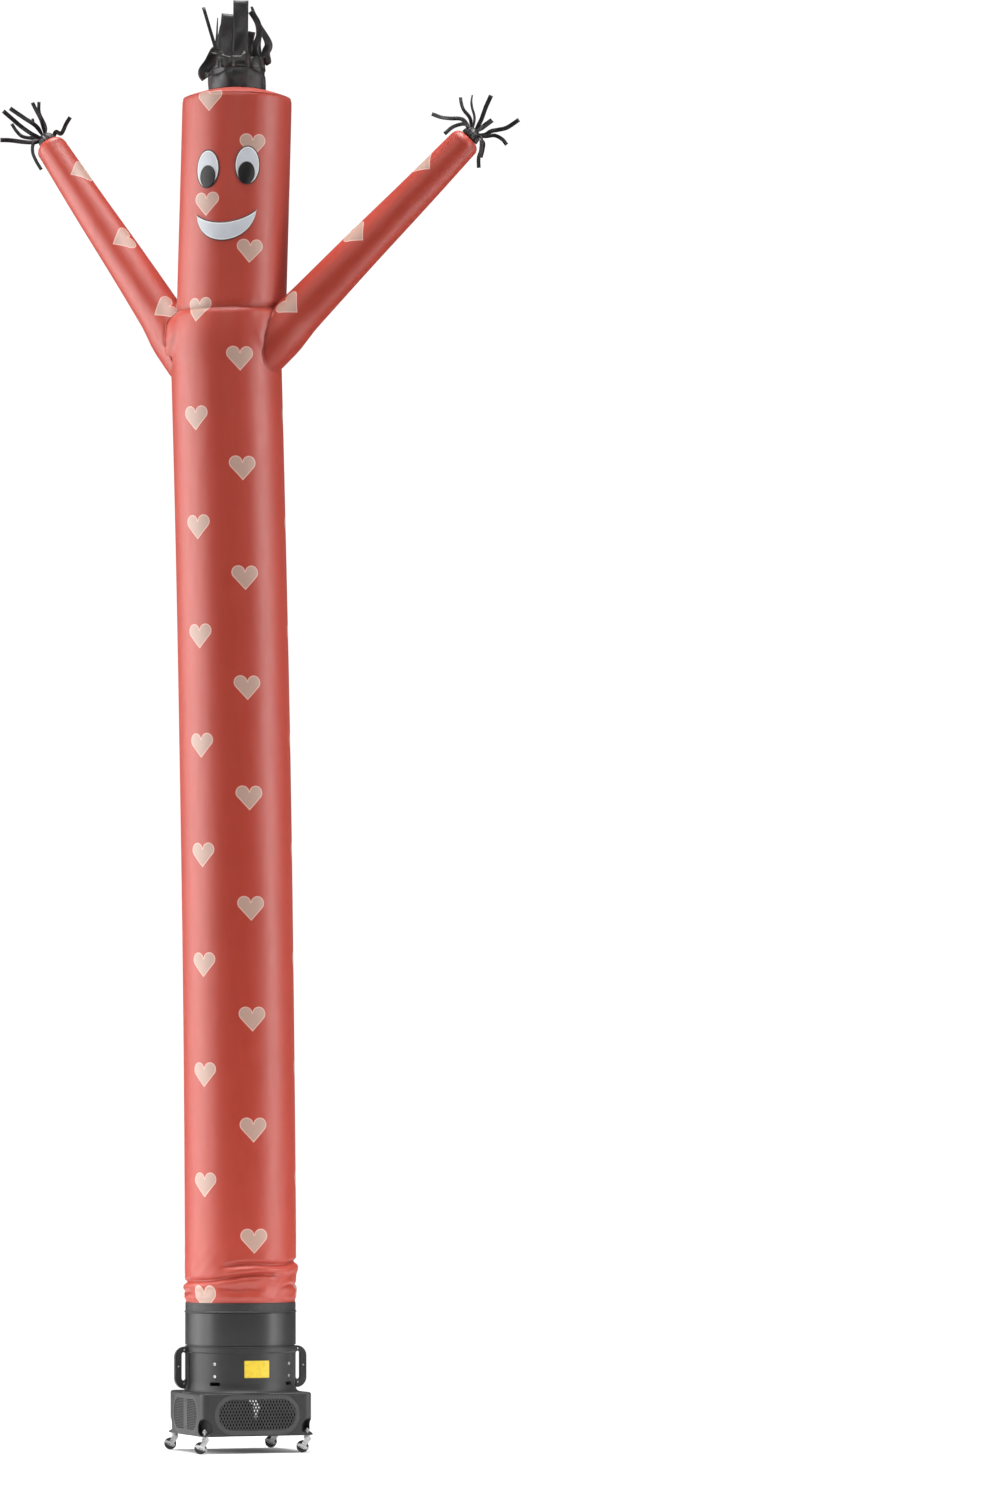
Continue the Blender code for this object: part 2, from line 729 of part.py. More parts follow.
def build_hair(parent):
    foot = hair_foot()
    skirt = turned([(1.0, rise) for rise, swell in HAIR_ROWS], HAIR_SIDES)
    for point in skirt.verts:
        angle = math.atan2(point.co.x, -point.co.y)
        rise, swell = min(HAIR_ROWS, key=lambda row: abs(row[0] - point.co.z))
        radius = HAIR_RADIUS + swell
        if rise:
            radius = gathered(angle, radius)
        point.co = foot + Vector((radius * math.sin(angle), -radius * math.cos(angle), rise))
    thicken(node("hair_skirt", finish_mesh(skirt, "hair_skirt", 50), "satin", parent), SATIN)

    low = HAIR_SKIRT + HAIR_SEAT_GAP
    high = low + HAIR_ROOT_BAND
    top_radius = HAIR_RADIUS + HAIR_ROWS[-1][1]
    ring = [(1.0, low), (1.0, high), (2.0, high), (2.0, low)]
    band = turned(ring, HAIR_BAND_SIDES, close=True)
    for point in band.verts:
        angle = math.atan2(point.co.x, -point.co.y)
        inner = math.hypot(point.co.x, point.co.y) < 1.5
        radius = gathered(angle, top_radius) - (SATIN if inner else 0)
        point.co = foot + Vector((radius * math.sin(angle), -radius * math.cos(angle), point.co.z))
    bmesh.ops.recalc_face_normals(band, faces=band.faces)
    crown = [f for f in band.faces if f.normal.z > 0.9]
    pull_strips(band, crown, foot, HAIR)
    node("hair_strips", finish_mesh(band, "hair_strips", 40), "satin", parent)


def pull_strips(bm, roots, middle, rows):
    """Draws each strip out of the free face that looks most towards its run."""
    for row in rows:
        strip = dict(zip(STRIP_COLUMNS, row))
        run = [Vector(point) / 1000 for point in strip["run"]]

        def towards(face):
            way = (face.calc_center_median() - middle).normalized()
            return way.dot(run[0].normalized())

        root = max(roots, key=towards)
        roots.remove(root)
        points = [middle + point for point in run]
        pull_strip(bm, root, points, strip["width"], Vector((0, -1, 0)), strip["twist"])


def build_hand(name, row, parent):
    end, along = arm_end(row)
    bm = bmesh.new()
    bmesh.ops.create_cone(
        bm,
        cap_ends=True,
        segments=HAND_SIDES,
        radius1=HUB_RADIUS,
        radius2=HUB_RADIUS * HUB_TAPER,
        depth=HUB_HEIGHT,
        matrix=Matrix.Translation((0, 0, HUB_SEAT_GAP + HUB_HEIGHT / 2)),
    )
    top = max(bm.faces, key=lambda f: f.calc_center_median().z)
    rim = HUB_RADIUS * (1 - HUB_CROWN)
    bmesh.ops.inset_region(bm, faces=[top], thickness=rim, depth=HUB_CROWN_RISE)
    place = Matrix.Translation(end) @ along.to_track_quat("Z", "Y").to_matrix().to_4x4()
    bmesh.ops.transform(bm, matrix=place, verts=bm.verts)
    roots = [face for face in bm.faces if len(face.verts) == 4]
    pull_strips(bm, roots, place @ Vector((0, 0, HUB_HEIGHT / 2)), HANDS[name])
    node(name, finish_mesh(bm, name, 40), "satin", parent)


# ------------------------------------------------------------------ hem and collar


def build_hem_and_collar(parent):
    inner = HEM_RADIUS + GAP
    outer = inner + BAND_WALL
    lip = outer + BAND_LIP
    band = turned(
        [
            (outer, BAND_TOP),
            (outer, BAND_BOTTOM + BAND_LIP_HEIGHT + 0.0015),
            (lip, BAND_BOTTOM + BAND_LIP_HEIGHT),
            (lip, BAND_BOTTOM),
            (inner, BAND_BOTTOM),
            (inner, BAND_TOP),
        ],
        TUBE_SIDES,
        close=True,
    )
    node("hem_band", finish_mesh(band, "hem_band", 40), "black_cloth", parent)

    under_hem = HEM_RADIUS - CLOTH - GAP
    shoulder = BAND_BOTTOM - GAP - 2 * COLLAR_STEP
    collar = turned(
        [
            (under_hem, COLLAR_TOP),
            (under_hem, shoulder + 2 * COLLAR_STEP),
            (COLLAR_RADIUS, shoulder),
            (COLLAR_RADIUS, COLLAR_BOTTOM),
            (COLLAR_RADIUS - COLLAR_WALL, COLLAR_BOTTOM),
            (under_hem - COLLAR_STEP, shoulder - 2 * COLLAR_WALL),
            (under_hem - COLLAR_WALL, COLLAR_TOP),
        ],
        TUBE_SIDES,
        close=True,
    )
    node("duct_collar", finish_mesh(collar, "duct_collar", 40), "collar", parent)


# ------------------------------------------------------------------ the blower


def housing_box():
    bm = box_mesh((-BOX_HALF, -BOX_HALF, BOX_BOTTOM), (BOX_HALF, BOX_HALF, BOX_TOP))
    upright = [e for e in bm.edges if abs(e.verts[0].co.z - e.verts[1].co.z) > 0.01]
    bmesh.ops.bevel(bm, geom=upright, offset=BOX_CORNER, segments=3, profile=0.5, affect="EDGES")
    level = [e for e in bm.edges if min(v.co.z for v in e.verts) > BOX_TOP - 0.0001]
    bmesh.ops.bevel(bm, geom=level, offset=BOX_EDGE, segments=2, profile=0.5, affect="EDGES")
    return finish_mesh(bm, "housing", 40)


def build_housing(blower):
    housing = node("housing", housing_box(), "plastic", blower)
    added = cutter_group("housing_added")
    taken = cutter_group("housing_taken")

    drum = [(0.0, SPIGOT_TOP), (SPIGOT_RADIUS, SPIGOT_TOP), (SPIGOT_RADIUS, RING_TOP)]
    drum += [(RING_RADIUS, RING_TOP), (RING_RADIUS, RING_BOTTOM + 0.002), (DRUM_RADIUS, RING_BOTTOM)]
    drum += [*reversed(FLARE), (FLARE[0][0], FLARE_FOOT), (0.0, FLARE_FOOT)]
    cutter("drum", finish_mesh(turned(drum, TUBE_SIDES), "drum"), blower, group=added)
    for name, side_x, side_y, swivel in CASTERS:
        place = (side_x * STEM_PLACE, side_y * STEM_PLACE, 0)
        foot = rod_mesh(FOOT_RADIUS, (0, 0, FOOT_BOTTOM), (0, 0, FOOT_TOP), 16)
        cutter("foot_" + name, finish_mesh(foot, "foot"), blower, place, group=added)

    inner = BOX_HALF - WALL
    cavity = box_mesh((-inner, -inner, FOOT_TOP - FOOT_FLOOR), (inner, inner, BOX_TOP - WALL))
    upright = [e for e in cavity.edges if abs(e.verts[0].co.z - e.verts[1].co.z) > 0.01]
    bmesh.ops.bevel(cavity, geom=upright, offset=COLUMN_CHAMFER, segments=1, affect="EDGES")
    cutter("cavity", finish_mesh(cavity, "cavity"), blower, group=taken)
    bore_foot = BOX_TOP - WALL - OVERCUT
    bore = rod_mesh(BORE_RADIUS, (0, 0, bore_foot), (0, 0, SPIGOT_TOP + OVERCUT), TUBE_SIDES)
    cutter("bore", finish_mesh(bore, "bore"), blower, group=taken)

    opening = (MESH_SIZE[0] + 2 * MESH_EDGE, MESH_SIZE[1] + 2 * MESH_EDGE)
    for i in range(4):
        turn = i * TURN / 4
        outside = -BOX_HALF - OVERCUT
        recess = plate_mesh(obround(PANEL_SIZE, 7, PANEL_Z), outside, -BOX_HALF + PANEL_RECESS)
        cutter(f"recess_{i}", finish_mesh(recess, "recess"), blower, turn_z=turn, group=taken)
        way = plate_mesh(obround(opening, 6, PANEL_Z), outside, -BOX_HALF + PORT_DEPTH)
        cutter(f"way_{i}", finish_mesh(way, "way"), blower, turn_z=turn, group=taken)
        vent = box_mesh(
            (-VENT_SIZE[0] / 2, -DRUM_RADIUS - OVERCUT, VENT_Z - VENT_SIZE[1] / 2),
            (VENT_SIZE[0] / 2, -BORE_RADIUS + OVERCUT, VENT_Z + VENT_SIZE[1] / 2),
        )
        vent_turn = math.radians(BOLT_ANGLES[i])
        cutter(f"vent_{i}", finish_mesh(vent, "vent"), blower, turn_z=vent_turn, group=taken)

    near = STEM_PLACE * math.sqrt(2) - POCKET_BACK
    far = near + POCKET_BACK + BOX_CORNER + OVERCUT
    arch_z = FOOT_TOP + POCKET_RISE
    for name, side_x, side_y, swivel in CASTERS:
        outward = math.atan2(side_y, side_x)
        arch = rod_mesh(POCKET_RADIUS, (near, 0, arch_z), (far, 0, arch_z), 16)
        cutter("arch_" + name, finish_mesh(arch, "arch"), blower, turn_z=outward, group=taken)
        under = box_mesh((near, -POCKET_RADIUS, FOOT_TOP), (far, POCKET_RADIUS, arch_z))
        cutter("under_" + name, finish_mesh(under, "under"), blower, turn_z=outward, group=taken)
        place = (side_x * STEM_PLACE, side_y * STEM_PLACE, 0)
        through = (FOOT_BOTTOM - OVERCUT, FOOT_TOP + OVERCUT)
        hole = rod_mesh(STEM_RADIUS + GAP, (0, 0, through[0]), (0, 0, through[1]), 10)
        cutter("stem_hole_" + name, finish_mesh(hole, "hole"), blower, place, group=taken)
    combine(housing, "UNION", added)
    combine(housing, "DIFFERENCE", taken)


def build_grilles(blower):
    """Obround panels with upright slots. The side panels keep a bar in the middle."""
    radius = MESH_SIZE[1] / 2
    run = MESH_SIZE[0] / 2 - radius
    front = -BOX_HALF + PANEL_RECESS - GAP
    size = (PANEL_SIZE[0] - 2 * GAP, PANEL_SIZE[1] - 2 * GAP)
    for i, name in enumerate(("grille_front", "grille_right", "grille_back", "grille_left")):
        turn = i * TURN / 4
        panel = plate_mesh(obround(size, 7, PANEL_Z), front - PANEL_THICK, front)
        made = node(name, finish_mesh(panel, name, 30), "plastic", blower, turn_z=turn)
        slots = bmesh.new()
        for k in range(SLOT_COUNT):
            x = (k - (SLOT_COUNT - 1) / 2) * SLOT_PITCH
            if i % 2 and abs(x) < SLOT_PITCH / 2:
                continue
            past = max(0.0, abs(x) + SLOT_WIDTH / 2 - run)
            half = math.sqrt(radius**2 - past**2) - SLOT_END
            slot = bmesh.ops.create_cube(slots, size=1.0)["verts"]
            bmesh.ops.scale(slots, vec=(SLOT_WIDTH, OVERCUT, 2 * half), verts=slot)
            bmesh.ops.translate(slots, vec=(x, front, PANEL_Z), verts=slot)
        cut = cutter(name + "_slots", finish_mesh(slots, "slots"), blower, turn_z=turn)
        combine(made, "DIFFERENCE", cut)


def handle_outline():
    """A D standing on the drum, its lower inner corner cut clear of the flare."""
    inner = RING_RADIUS + GAP
    across = HANDLE_OUT - HANDLE_CORNER
    top = arc((across, HANDLE_TOP - HANDLE_CORNER), HANDLE_CORNER, 90, 0, 5)
    low = arc((across, HANDLE_BOTTOM + HANDLE_CORNER), HANDLE_CORNER, 0, -90, 5)
    return [(inner, HANDLE_TOP), *top, *low, (inner, HANDLE_BOTTOM + HANDLE_CLEAR)]


def build_handles(blower):
    for side, turn in (("right", 0.0), ("left", math.pi)):
        half = HANDLE_THICK / 2
        grip = plate_mesh(handle_outline(), -half, half)
        rims = [e for e in grip.edges if abs(e.verts[0].co.y - e.verts[1].co.y) < 0.0001]
        bmesh.ops.bevel(grip, geom=rims, offset=HANDLE_EDGE, segments=1, affect="EDGES")
        mesh = finish_mesh(grip, "handle", 40)
        handle = node("handle_" + side, mesh, "plastic", blower, turn_z=turn)
        slot_low, slot_high = HANDLE_SLOT_Z
        slot_radius = (HANDLE_SLOT_X[1] - HANDLE_SLOT_X[0]) / 2
        middle = sum(HANDLE_SLOT_X) / 2
        outline = arc((middle, slot_high - slot_radius), slot_radius, 0, 180, 4)
        outline += arc((middle, slot_low + slot_radius), slot_radius, 180, 360, 4)
        slot = plate_mesh(outline, -HANDLE_THICK, HANDLE_THICK)
        cut = cutter("slot_" + side, finish_mesh(slot, "slot"), blower, turn_z=turn)
        combine(handle, "DIFFERENCE", cut)


def build_drum_trim(blower):
    bend = DRUM_RADIUS + 2 * GAP
    half_angle = PLATE_SIZE[0] / 2 / bend
    steps = 6
    sheet = bmesh.new()
    bmesh.ops.create_grid(sheet, x_segments=steps, y_segments=1, size=1.0)
    for point in sheet.verts:
        angle = math.radians(PLATE_ANGLE) + point.co.x * half_angle
        height = PLATE_Z + point.co.y * PLATE_SIZE[1] / 2
        point.co = Vector((bend * math.sin(angle), -bend * math.cos(angle), height))
    face_away(sheet, Vector((0, 0, PLATE_Z)))
    mesh = finish_mesh(sheet, "maker_plate", 40, turn=False)
    thicken(node("maker_plate", mesh, "plate", blower), PLATE_THICK, outward=True)

    count = 0
    for degrees in BOLT_ANGLES:
        for height in BOLT_HEIGHTS:
            count += 1
            start = -DRUM_RADIUS - GAP
            head = rod_mesh(BOLT_RADIUS, (0, start, 0), (0, start - BOLT_HEAD, 0), 10)
            node(
                f"drum_bolt_{count}",
                finish_mesh(head, "drum_bolt", 40),
                "zinc",
                blower,
                (0, 0, height),
                math.radians(degrees),
            )


# ------------------------------------------------------------------ casters


def wheel_height():
    """The axle's height: the wheel rests on one of its flats."""
    return WHEEL_RADIUS * math.cos(math.pi / WHEEL_SIDES)


def wheel_mesh():
    half = WHEEL_WIDTH / 2
    bore = AXLE_RADIUS + RUNNING_GAP
    outer = WHEEL_RADIUS
    shoulder = outer - TREAD_CHAMFER
    side = half - TREAD_CHAMFER
    top_half = [(bore, half), (shoulder, half), (outer, side)]
    bm = turned(top_half + [(r, -z) for r, z in reversed(top_half)], WHEEL_SIDES, close=True)
    half_step = Matrix.Rotation(math.pi / WHEEL_SIDES, 4, "Z")
    lay = Matrix.Rotation(math.pi / 2, 4, "X")
    bmesh.ops.transform(bm, matrix=lay @ half_step, verts=bm.verts)
    return finish_mesh(bm, "wheel", 50)


def leg_outline():
    """One cheek of the fork, from the yoke down and back to the axle."""
    axle = (-TRAIL, wheel_height())
    low = arc(axle, CHEEK_ROUND, 150, 330, 6)
    return [(CHEEK_BACK, YOKE_TOP), *low, (CHEEK_FRONT, YOKE_TOP)]


def brake_outline():
    """A leaf with cut-off ends, tilted across the wheel, about its own middle."""
    half = BRAKE_LENGTH / 2
    steps = 5
    across = [half * (2 * i / steps - 1) for i in range(steps + 1)]
    upper = [(u, BRAKE_WIDTH / 2 * math.cos(u / half * BRAKE_ROUND)) for u in across]
    lower = [(u, -v) for u, v in reversed(upper)]
    turn = Matrix.Rotation(BRAKE_TILT, 2)
    return [tuple(turn @ Vector(point)) for point in upper + lower]


def stem_mesh():
    """A threaded stem with its nut, which clamps the foot of the box."""
    seat = FOOT_TOP + GAP
    nut_top = seat + NUT_HEIGHT
    profile = [
        (0.0, nut_top + NUT_STANDS),
        (STEM_RADIUS, nut_top + NUT_STANDS),
        (STEM_RADIUS, nut_top),
        (NUT_RADIUS, nut_top),
        (NUT_RADIUS, seat),
        (STEM_RADIUS, seat),
        (STEM_RADIUS, YOKE_TOP + STEM_SINKS),
        (0.0, YOKE_TOP + STEM_SINKS),
    ]
    return finish_mesh(turned(profile, 6), "stem", 40)


def build_fork(name, pivot, axle_at, brake_far):
    outer = LEG_INNER + LEG_THICK
    cheek = plate_mesh(leg_outline(), LEG_INNER, outer)
    fork = node("fork_" + name, finish_mesh(cheek, "fork", 40), "zinc", pivot)
    group = cutter_group("fork_added_" + name)
    other = plate_mesh(leg_outline(), -outer, -LEG_INNER)
    cutter("cheek_" + name, finish_mesh(other, "cheek"), pivot, group=group)
    yoke = box_mesh((CHEEK_BACK, -outer, YOKE_BOTTOM), (CHEEK_FRONT, outer, YOKE_TOP))
    cutter("yoke_" + name, finish_mesh(yoke, "yoke"), pivot, group=group)
    disc_foot = (YOKE_BOTTOM + YOKE_TOP) / 2
    disc = rod_mesh(HEAD_DISC_RADIUS, (0, 0, disc_foot), (0, 0, HEAD_DISC_TOP), 14)
    cutter("disc_" + name, finish_mesh(disc, "disc"), pivot, group=group)
    axle = rod_mesh(AXLE_RADIUS, (0, brake_far - AXLE_STANDS, 0), (0, outer + AXLE_STANDS, 0), 10)
    cutter("axle_" + name, finish_mesh(axle, "axle"), pivot, axle_at, group=group)
    combine(fork, "UNION", group)
    well_foot = YOKE_TOP + STEM_SINKS - RUNNING_GAP
    well = rod_mesh(STEM_RADIUS + 2 * GAP, (0, 0, well_foot), (0, 0, HEAD_DISC_TOP + OVERCUT), 10)
    combine(fork, "DIFFERENCE", cutter("stem_well_" + name, finish_mesh(well, "well"), pivot))


def build_caster(name, side_x, side_y, swivel, blower):
    place = (side_x * STEM_PLACE, side_y * STEM_PLACE, 0)
    node("stem_" + name, stem_mesh(), "zinc", blower, place)

    pivot = empty("swivel_" + name, blower, place, math.radians(swivel) - BLOWER_YAW)
    axle_at = (-TRAIL, 0, wheel_height())
    cheek_face = -LEG_INNER - LEG_THICK
    brake_far = cheek_face - GAP - BRAKE_THICK
    build_fork(name, pivot, axle_at, brake_far)
    node("wheel_" + name, wheel_mesh(), "tyre", pivot, axle_at)

    leaf = plate_mesh(brake_outline(), cheek_face - GAP, brake_far)
    brake = node("brake_" + name, finish_mesh(leaf, "brake", 40), "zinc", pivot, axle_at)
    eye = rod_mesh(AXLE_RADIUS + RUNNING_GAP, (0, -OVERCUT, 0), (0, 0, 0), 10)
    eye_cut = cutter("brake_eye_" + name, finish_mesh(eye, "eye"), pivot, axle_at)
    combine(brake, "DIFFERENCE", eye_cut)


# ------------------------------------------------------------------ everything


def build():
    stand = empty("air_dancer", place=(BLOWER_X, BLOWER_Y, 0))
    build_cloth(stand)
    build_face(stand)
    build_hair(stand)
    build_hand("hand_tuft_left", ARMS[0], stand)
    build_hand("hand_tuft_right", ARMS[1], stand)
    build_hem_and_collar(stand)
    blower = empty("blower", stand, turn_z=BLOWER_YAW)
    build_housing(blower)
    build_grilles(blower)
    build_handles(blower)
    build_drum_trim(blower)
    for row in CASTERS:
        build_caster(*row, blower)


clear_scene()
PARTS = bpy.data.collections.new("air_dancer")
CUTTERS = bpy.data.collections.new("cutters")
bpy.context.scene.collection.children.link(PARTS)
bpy.context.scene.collection.children.link(CUTTERS)
build()
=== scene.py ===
"""The finished look of an inflatable air dancer on its blower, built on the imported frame.

Lengths are metres in the frame's axes: +Z is up and the front faces -Y. Cloth is laid
out point by point on its own folds. The blower's pieces are drawn up from primitives.
"""

import math

import bmesh
import bpy
from mathutils import Matrix, Vector


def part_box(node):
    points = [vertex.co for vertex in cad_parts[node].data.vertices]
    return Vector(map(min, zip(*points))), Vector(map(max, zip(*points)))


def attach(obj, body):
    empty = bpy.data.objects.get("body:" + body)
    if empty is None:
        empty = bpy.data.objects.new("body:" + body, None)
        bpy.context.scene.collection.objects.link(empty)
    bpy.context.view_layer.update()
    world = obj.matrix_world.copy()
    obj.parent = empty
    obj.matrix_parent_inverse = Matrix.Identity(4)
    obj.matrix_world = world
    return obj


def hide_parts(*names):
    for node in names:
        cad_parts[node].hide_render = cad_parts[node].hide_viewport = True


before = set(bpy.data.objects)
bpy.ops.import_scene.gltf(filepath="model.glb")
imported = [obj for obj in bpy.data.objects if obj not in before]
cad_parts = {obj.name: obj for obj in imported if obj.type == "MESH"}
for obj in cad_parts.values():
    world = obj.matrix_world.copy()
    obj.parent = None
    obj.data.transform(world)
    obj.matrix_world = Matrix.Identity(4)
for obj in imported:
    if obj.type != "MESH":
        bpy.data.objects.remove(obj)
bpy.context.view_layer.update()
bpy.ops.object.select_all(action="DESELECT")

TURN = 2 * math.pi
FRONT = Vector((0, -1, 0))
BODY = "blower_and_dancer"

# The blower's axis, from the round collar's middle, and the turn of its box
COLLAR_LOW, COLLAR_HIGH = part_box("duct_collar")
AXIS_X = (COLLAR_LOW.x + COLLAR_HIGH.x) / 2
AXIS_Y = (COLLAR_LOW.y + COLLAR_HIGH.y) / 2
STAND = Matrix.Translation((AXIS_X, AXIS_Y, 0))
BLOWER_YAW = math.radians(17.0)
BLOWER = STAND @ Matrix.Rotation(BLOWER_YAW, 4, "Z")

# Cloth tubes
WALL = 0.0010
GAP = 0.0003
BODY_RADIUS = 0.226
HEAD_RADIUS = 0.2245
NECK_RADIUS = 0.2205
NECK_Z = 4.670
HEAD_TOP = 5.526
HEAD_CORNER = 0.0035
DOME_HEIGHT = 0.047
SHOULDER_SWELL = 0.010
SHOULDER_Z = 4.545
SHOULDER_REACH = 0.125
SHOULDER_EVEN = 0.35
HEM_RADIUS = 0.2213
HEM_BOTTOM = 0.566
BAND_BOTTOM = 0.5625
BAND_TOP = 0.603
NECK_PULL = 0.030
NECK_SWELL_RISE = 0.028
HEAD_CORNER_RISE = 0.018
NECK_TUCK = 0.0035
NECK_TUCK_REACH = 0.012
TUBE_COLUMNS = 144

# Gathered folds above the hem: each trough's two ends, its depth, half width and roll
FOLD_COLUMNS = ("from_angle", "from_z", "to_angle", "to_z", "trough", "half_width", "roll")
FOLDS = (
    (96, 0.766, -14, 0.754, 0.0135, 0.0095, 0.0085),
    (-98, 0.679, 42, 0.722, 0.0130, 0.0085, 0.0065),
    (104, 0.676, 52, 0.668, 0.0085, 0.0080, 0.0035),
    (262, 0.679, 150, 0.716, 0.0120, 0.0095, 0.0065),
    (96, 0.766, 205, 0.748, 0.0115, 0.0105, 0.0075),
    (-104, 0.648, -62, 0.640, 0.0080, 0.0085, 0.0025),
    (-30, 0.664, 22, 0.655, 0.0050, 0.0105, 0.0030),
)
FOLD_FADE = 22.0
FOLD_WAVE = 0.004
FOLD_WAVE_TURNS = 3.2
ROLL_BELOW = 2.6
ROLL_WIDTH = 1.9
FOLDS_TOP = 0.90
HEM_CLEAR = 0.0025
HEM_SWELL_RISE = 0.020

# Arms: where each leaves the body, and where it ends
ARMS = {
    "left": (Vector((-0.262, 0.046, 4.545)), Vector((-0.7995, 0.3926, 5.4046))),
    "right": (Vector((0.156, -0.082, 4.545)), Vector((0.933, -0.190, 5.343))),
}
ARM_ROOT_RADIUS = 0.096
ARM_TIP_RADIUS = 0.0635
ARM_FLARE = 0.010
ARM_FLARE_REACH = 0.14
ARM_TIP_CORNER = 0.034
ARM_COLUMNS = 72

# Face patches: angle of the middle from the front, height, size
EYE_HEIGHTS = {"left": 5.211, "right": 5.224}
EYE_SIZE = (0.107, 0.159)
PUPIL_DROP = 0.0315
PUPIL_SIZE = (0.069, 0.092)
EYE_ANGLES = {"left": -30.0, "right": 13.0}
PUPIL_SHIFT = {"left": 0.003, "right": -0.004}
SMILE_ANGLE = -9.0
SMILE_HALF_WIDTH = 0.128
SMILE_TIP_Z = 5.035
SMILE_TILT = 0.009
SMILE_DROPS = (0.043, 0.122)
FACE_LIFT = 0.0006
PATCH = 0.0010
EDGE_STITCH = 0.0048
EDGE_TURN = 0.0095

# Satin tufts. Each strip has its width, the turn of its flat side from root to tip in
# degrees, and its run in millimetres from the middle of the tuft's foot.
HAIR_RADIUS = 0.1175
HAIR_SKIRT = 0.128
HAIR_GATHERS = 5
SATIN = 0.0008
HAIR = (
    (0.062, 0, ((14, -96, 134), (14, -88, 198), (14, -82, 268), (15, -76, 364))),
    (0.060, 0, ((-46, -84, 134), (-44, -72, 208), (-34, -62, 311))),
    (0.014, 10, ((-92, -52, 134), (-90, -50, 169), (-112, -48, 248), (-139, -46, 341))),
    (0.012, 75, ((-98, -14, 144), (-86, -16, 208), (-81, -18, 302))),
    (0.022, 60, ((-96, 26, 134), (-80, 28, 198), (-66, 26, 278))),
    (0.030, 0, ((-62, 72, 144), (-52, 66, 218), (-56, 56, 270))),
    (0.034, 0, ((6, 92, 144), (8, 82, 222), (0, 70, 284))),
    (0.030, 20, ((62, 72, 144), (52, 64, 208), (60, 54, 258))),
    (0.020, 50, ((98, 36, 134), (88, 34, 198), (98, 28, 254))),
    (0.036, 70, ((122, -10, 122), (118, -10, 159), (129, -12, 200), (86, -14, 284), (61, -16, 350))),
    (0.026, -20, ((84, -72, 124), (72, -78, 170), (89, -80, 218), (84, -78, 270), (55, -76, 320))),
    (0.046, 25, ((-88, -72, 154), (-112, -66, 108), (-138, -60, 70), (-126, -62, 44))),
)
HUB_RADIUS = 0.036
HUB_HEIGHT = 0.040
HANDS = {
    "left": (
        (0.016, 0, ((-19, -16, 77), (-39, -14, 118), (-57, -12, 155))),
        (0.014, 0, ((-5, 16, 63), (-29, 18, 116), (-31, 20, 164))),
        (0.018, 0, ((-41, -18, 55), (-91, -20, 89), (-150, -22, 129))),
        (0.018, 0, ((-53, -30, 17), (-101, -36, 49), (-140, -40, 82), (-177, -44, 114))),
        (0.016, 30, ((-53, 12, 9), (-99, 20, 18), (-124, 22, 41), (-144, 24, 72))),
        (0.019, 0, ((-51, -10, -11), (-96, -12, -10), (-147, -14, -4), (-190, -16, -3))),
        (0.017, 15, ((31, 8, 18), (41, 8, 36), (59, 10, 28), (69, 10, 38), (83, 10, 70), (100, 10, 98))),
        (0.014, 0, ((-50, -22, -17), (-55, -34, -54), (-42, -44, -91), (-18, -54, -133))),
        (0.011, 0, ((-27, 36, 39), (-51, 44, 72), (-58, 48, 98))),
    ),
    "right": (
        (0.015, 30, ((-10, -8, 65), (-36, -10, 99), (-46, -12, 128), (-49, -12, 151))),
        (0.011, 60, ((9, 12, 72), (0, 14, 110), (-3, 16, 137), (1, 16, 165))),
        (0.018, 0, ((34, -12, 55), (54, -16, 109), (76, -20, 158))),
        (0.021, 0, ((46, 26, 37), (82, 34, 65))),
        (0.018, 20, ((49, -20, -5), (76, -26, 10), (105, -30, 15), (141, -34, 24), (189, -40, 55))),
        (0.016, 0, ((52, 4, -7), (91, 6, -3), (122, 4, -19), (140, 2, -42))),
        (0.016, 10, ((33, -44, -24), (33, -56, -72), (23, -60, -106), (23, -62, -147))),
        (0.013, 0, ((45, 12, -30), (43, 12, -64), (35, 10, -94))),
        (0.016, 0, ((-31, -28, 38), (-78, -40, 26), (-116, -50, -6))),
        (0.018, 20, ((-26, 14, 48), (-46, 22, 68), (-88, 26, 70), (-127, 28, 75), (-165, 30, 89))),
    ),
}


# ------------------------------------------------------------------ camera

LENS = 152.9
CAMERA_AWAY = 26.0
CAMERA_Z = 1.27
# Degrees: up from level, to the side, and round the view's own axis
CAMERA_TILT, CAMERA_PAN, CAMERA_ROLL = 3.474, -2.2649, -0.137


def set_camera():
    """Low and far away, square to the front, and panned past the dancer."""
    lens = bpy.data.cameras.new("camera")
    lens.sensor_width = 36.0
    lens.lens = LENS
    lens.clip_end = 200.0
    camera = bpy.data.objects.new("camera", lens)
    bpy.context.scene.collection.objects.link(camera)
    camera.location = (AXIS_X, AXIS_Y - CAMERA_AWAY, CAMERA_Z)
    tilt = Matrix.Rotation(math.radians(90 + CAMERA_TILT), 3, "X")
    pan = Matrix.Rotation(math.radians(CAMERA_PAN), 3, "Z")
    roll = Matrix.Rotation(math.radians(CAMERA_ROLL), 3, "Z")
    camera.rotation_euler = (pan @ tilt @ roll).to_euler()
    bpy.context.scene.camera = camera


# ------------------------------------------------------------------ sums


def smooth(t):
    t = min(1.0, max(0.0, t))
    return t * t * (3 - 2 * t)


def mix(a, b, t):
    return a + (b - a) * t


def lean(z):
    """Sideways place of the tube's axis at a height, from the blower's axis."""
    climb = max(0.0, (z - 0.85) / 3.55)
    body = -(0.019 * climb + 0.038 * climb * climb)
    head = -0.034 + 0.0256 * (z - 4.75)
    return mix(body, head, smooth((z - 4.44) / 0.28))


def on_tube(angle, radius, z):
    """A point at an angle from the front, positive to +X, round the tube's axis."""
    return Vector((lean(z) + radius * math.sin(angle), -radius * math.cos(angle), z))


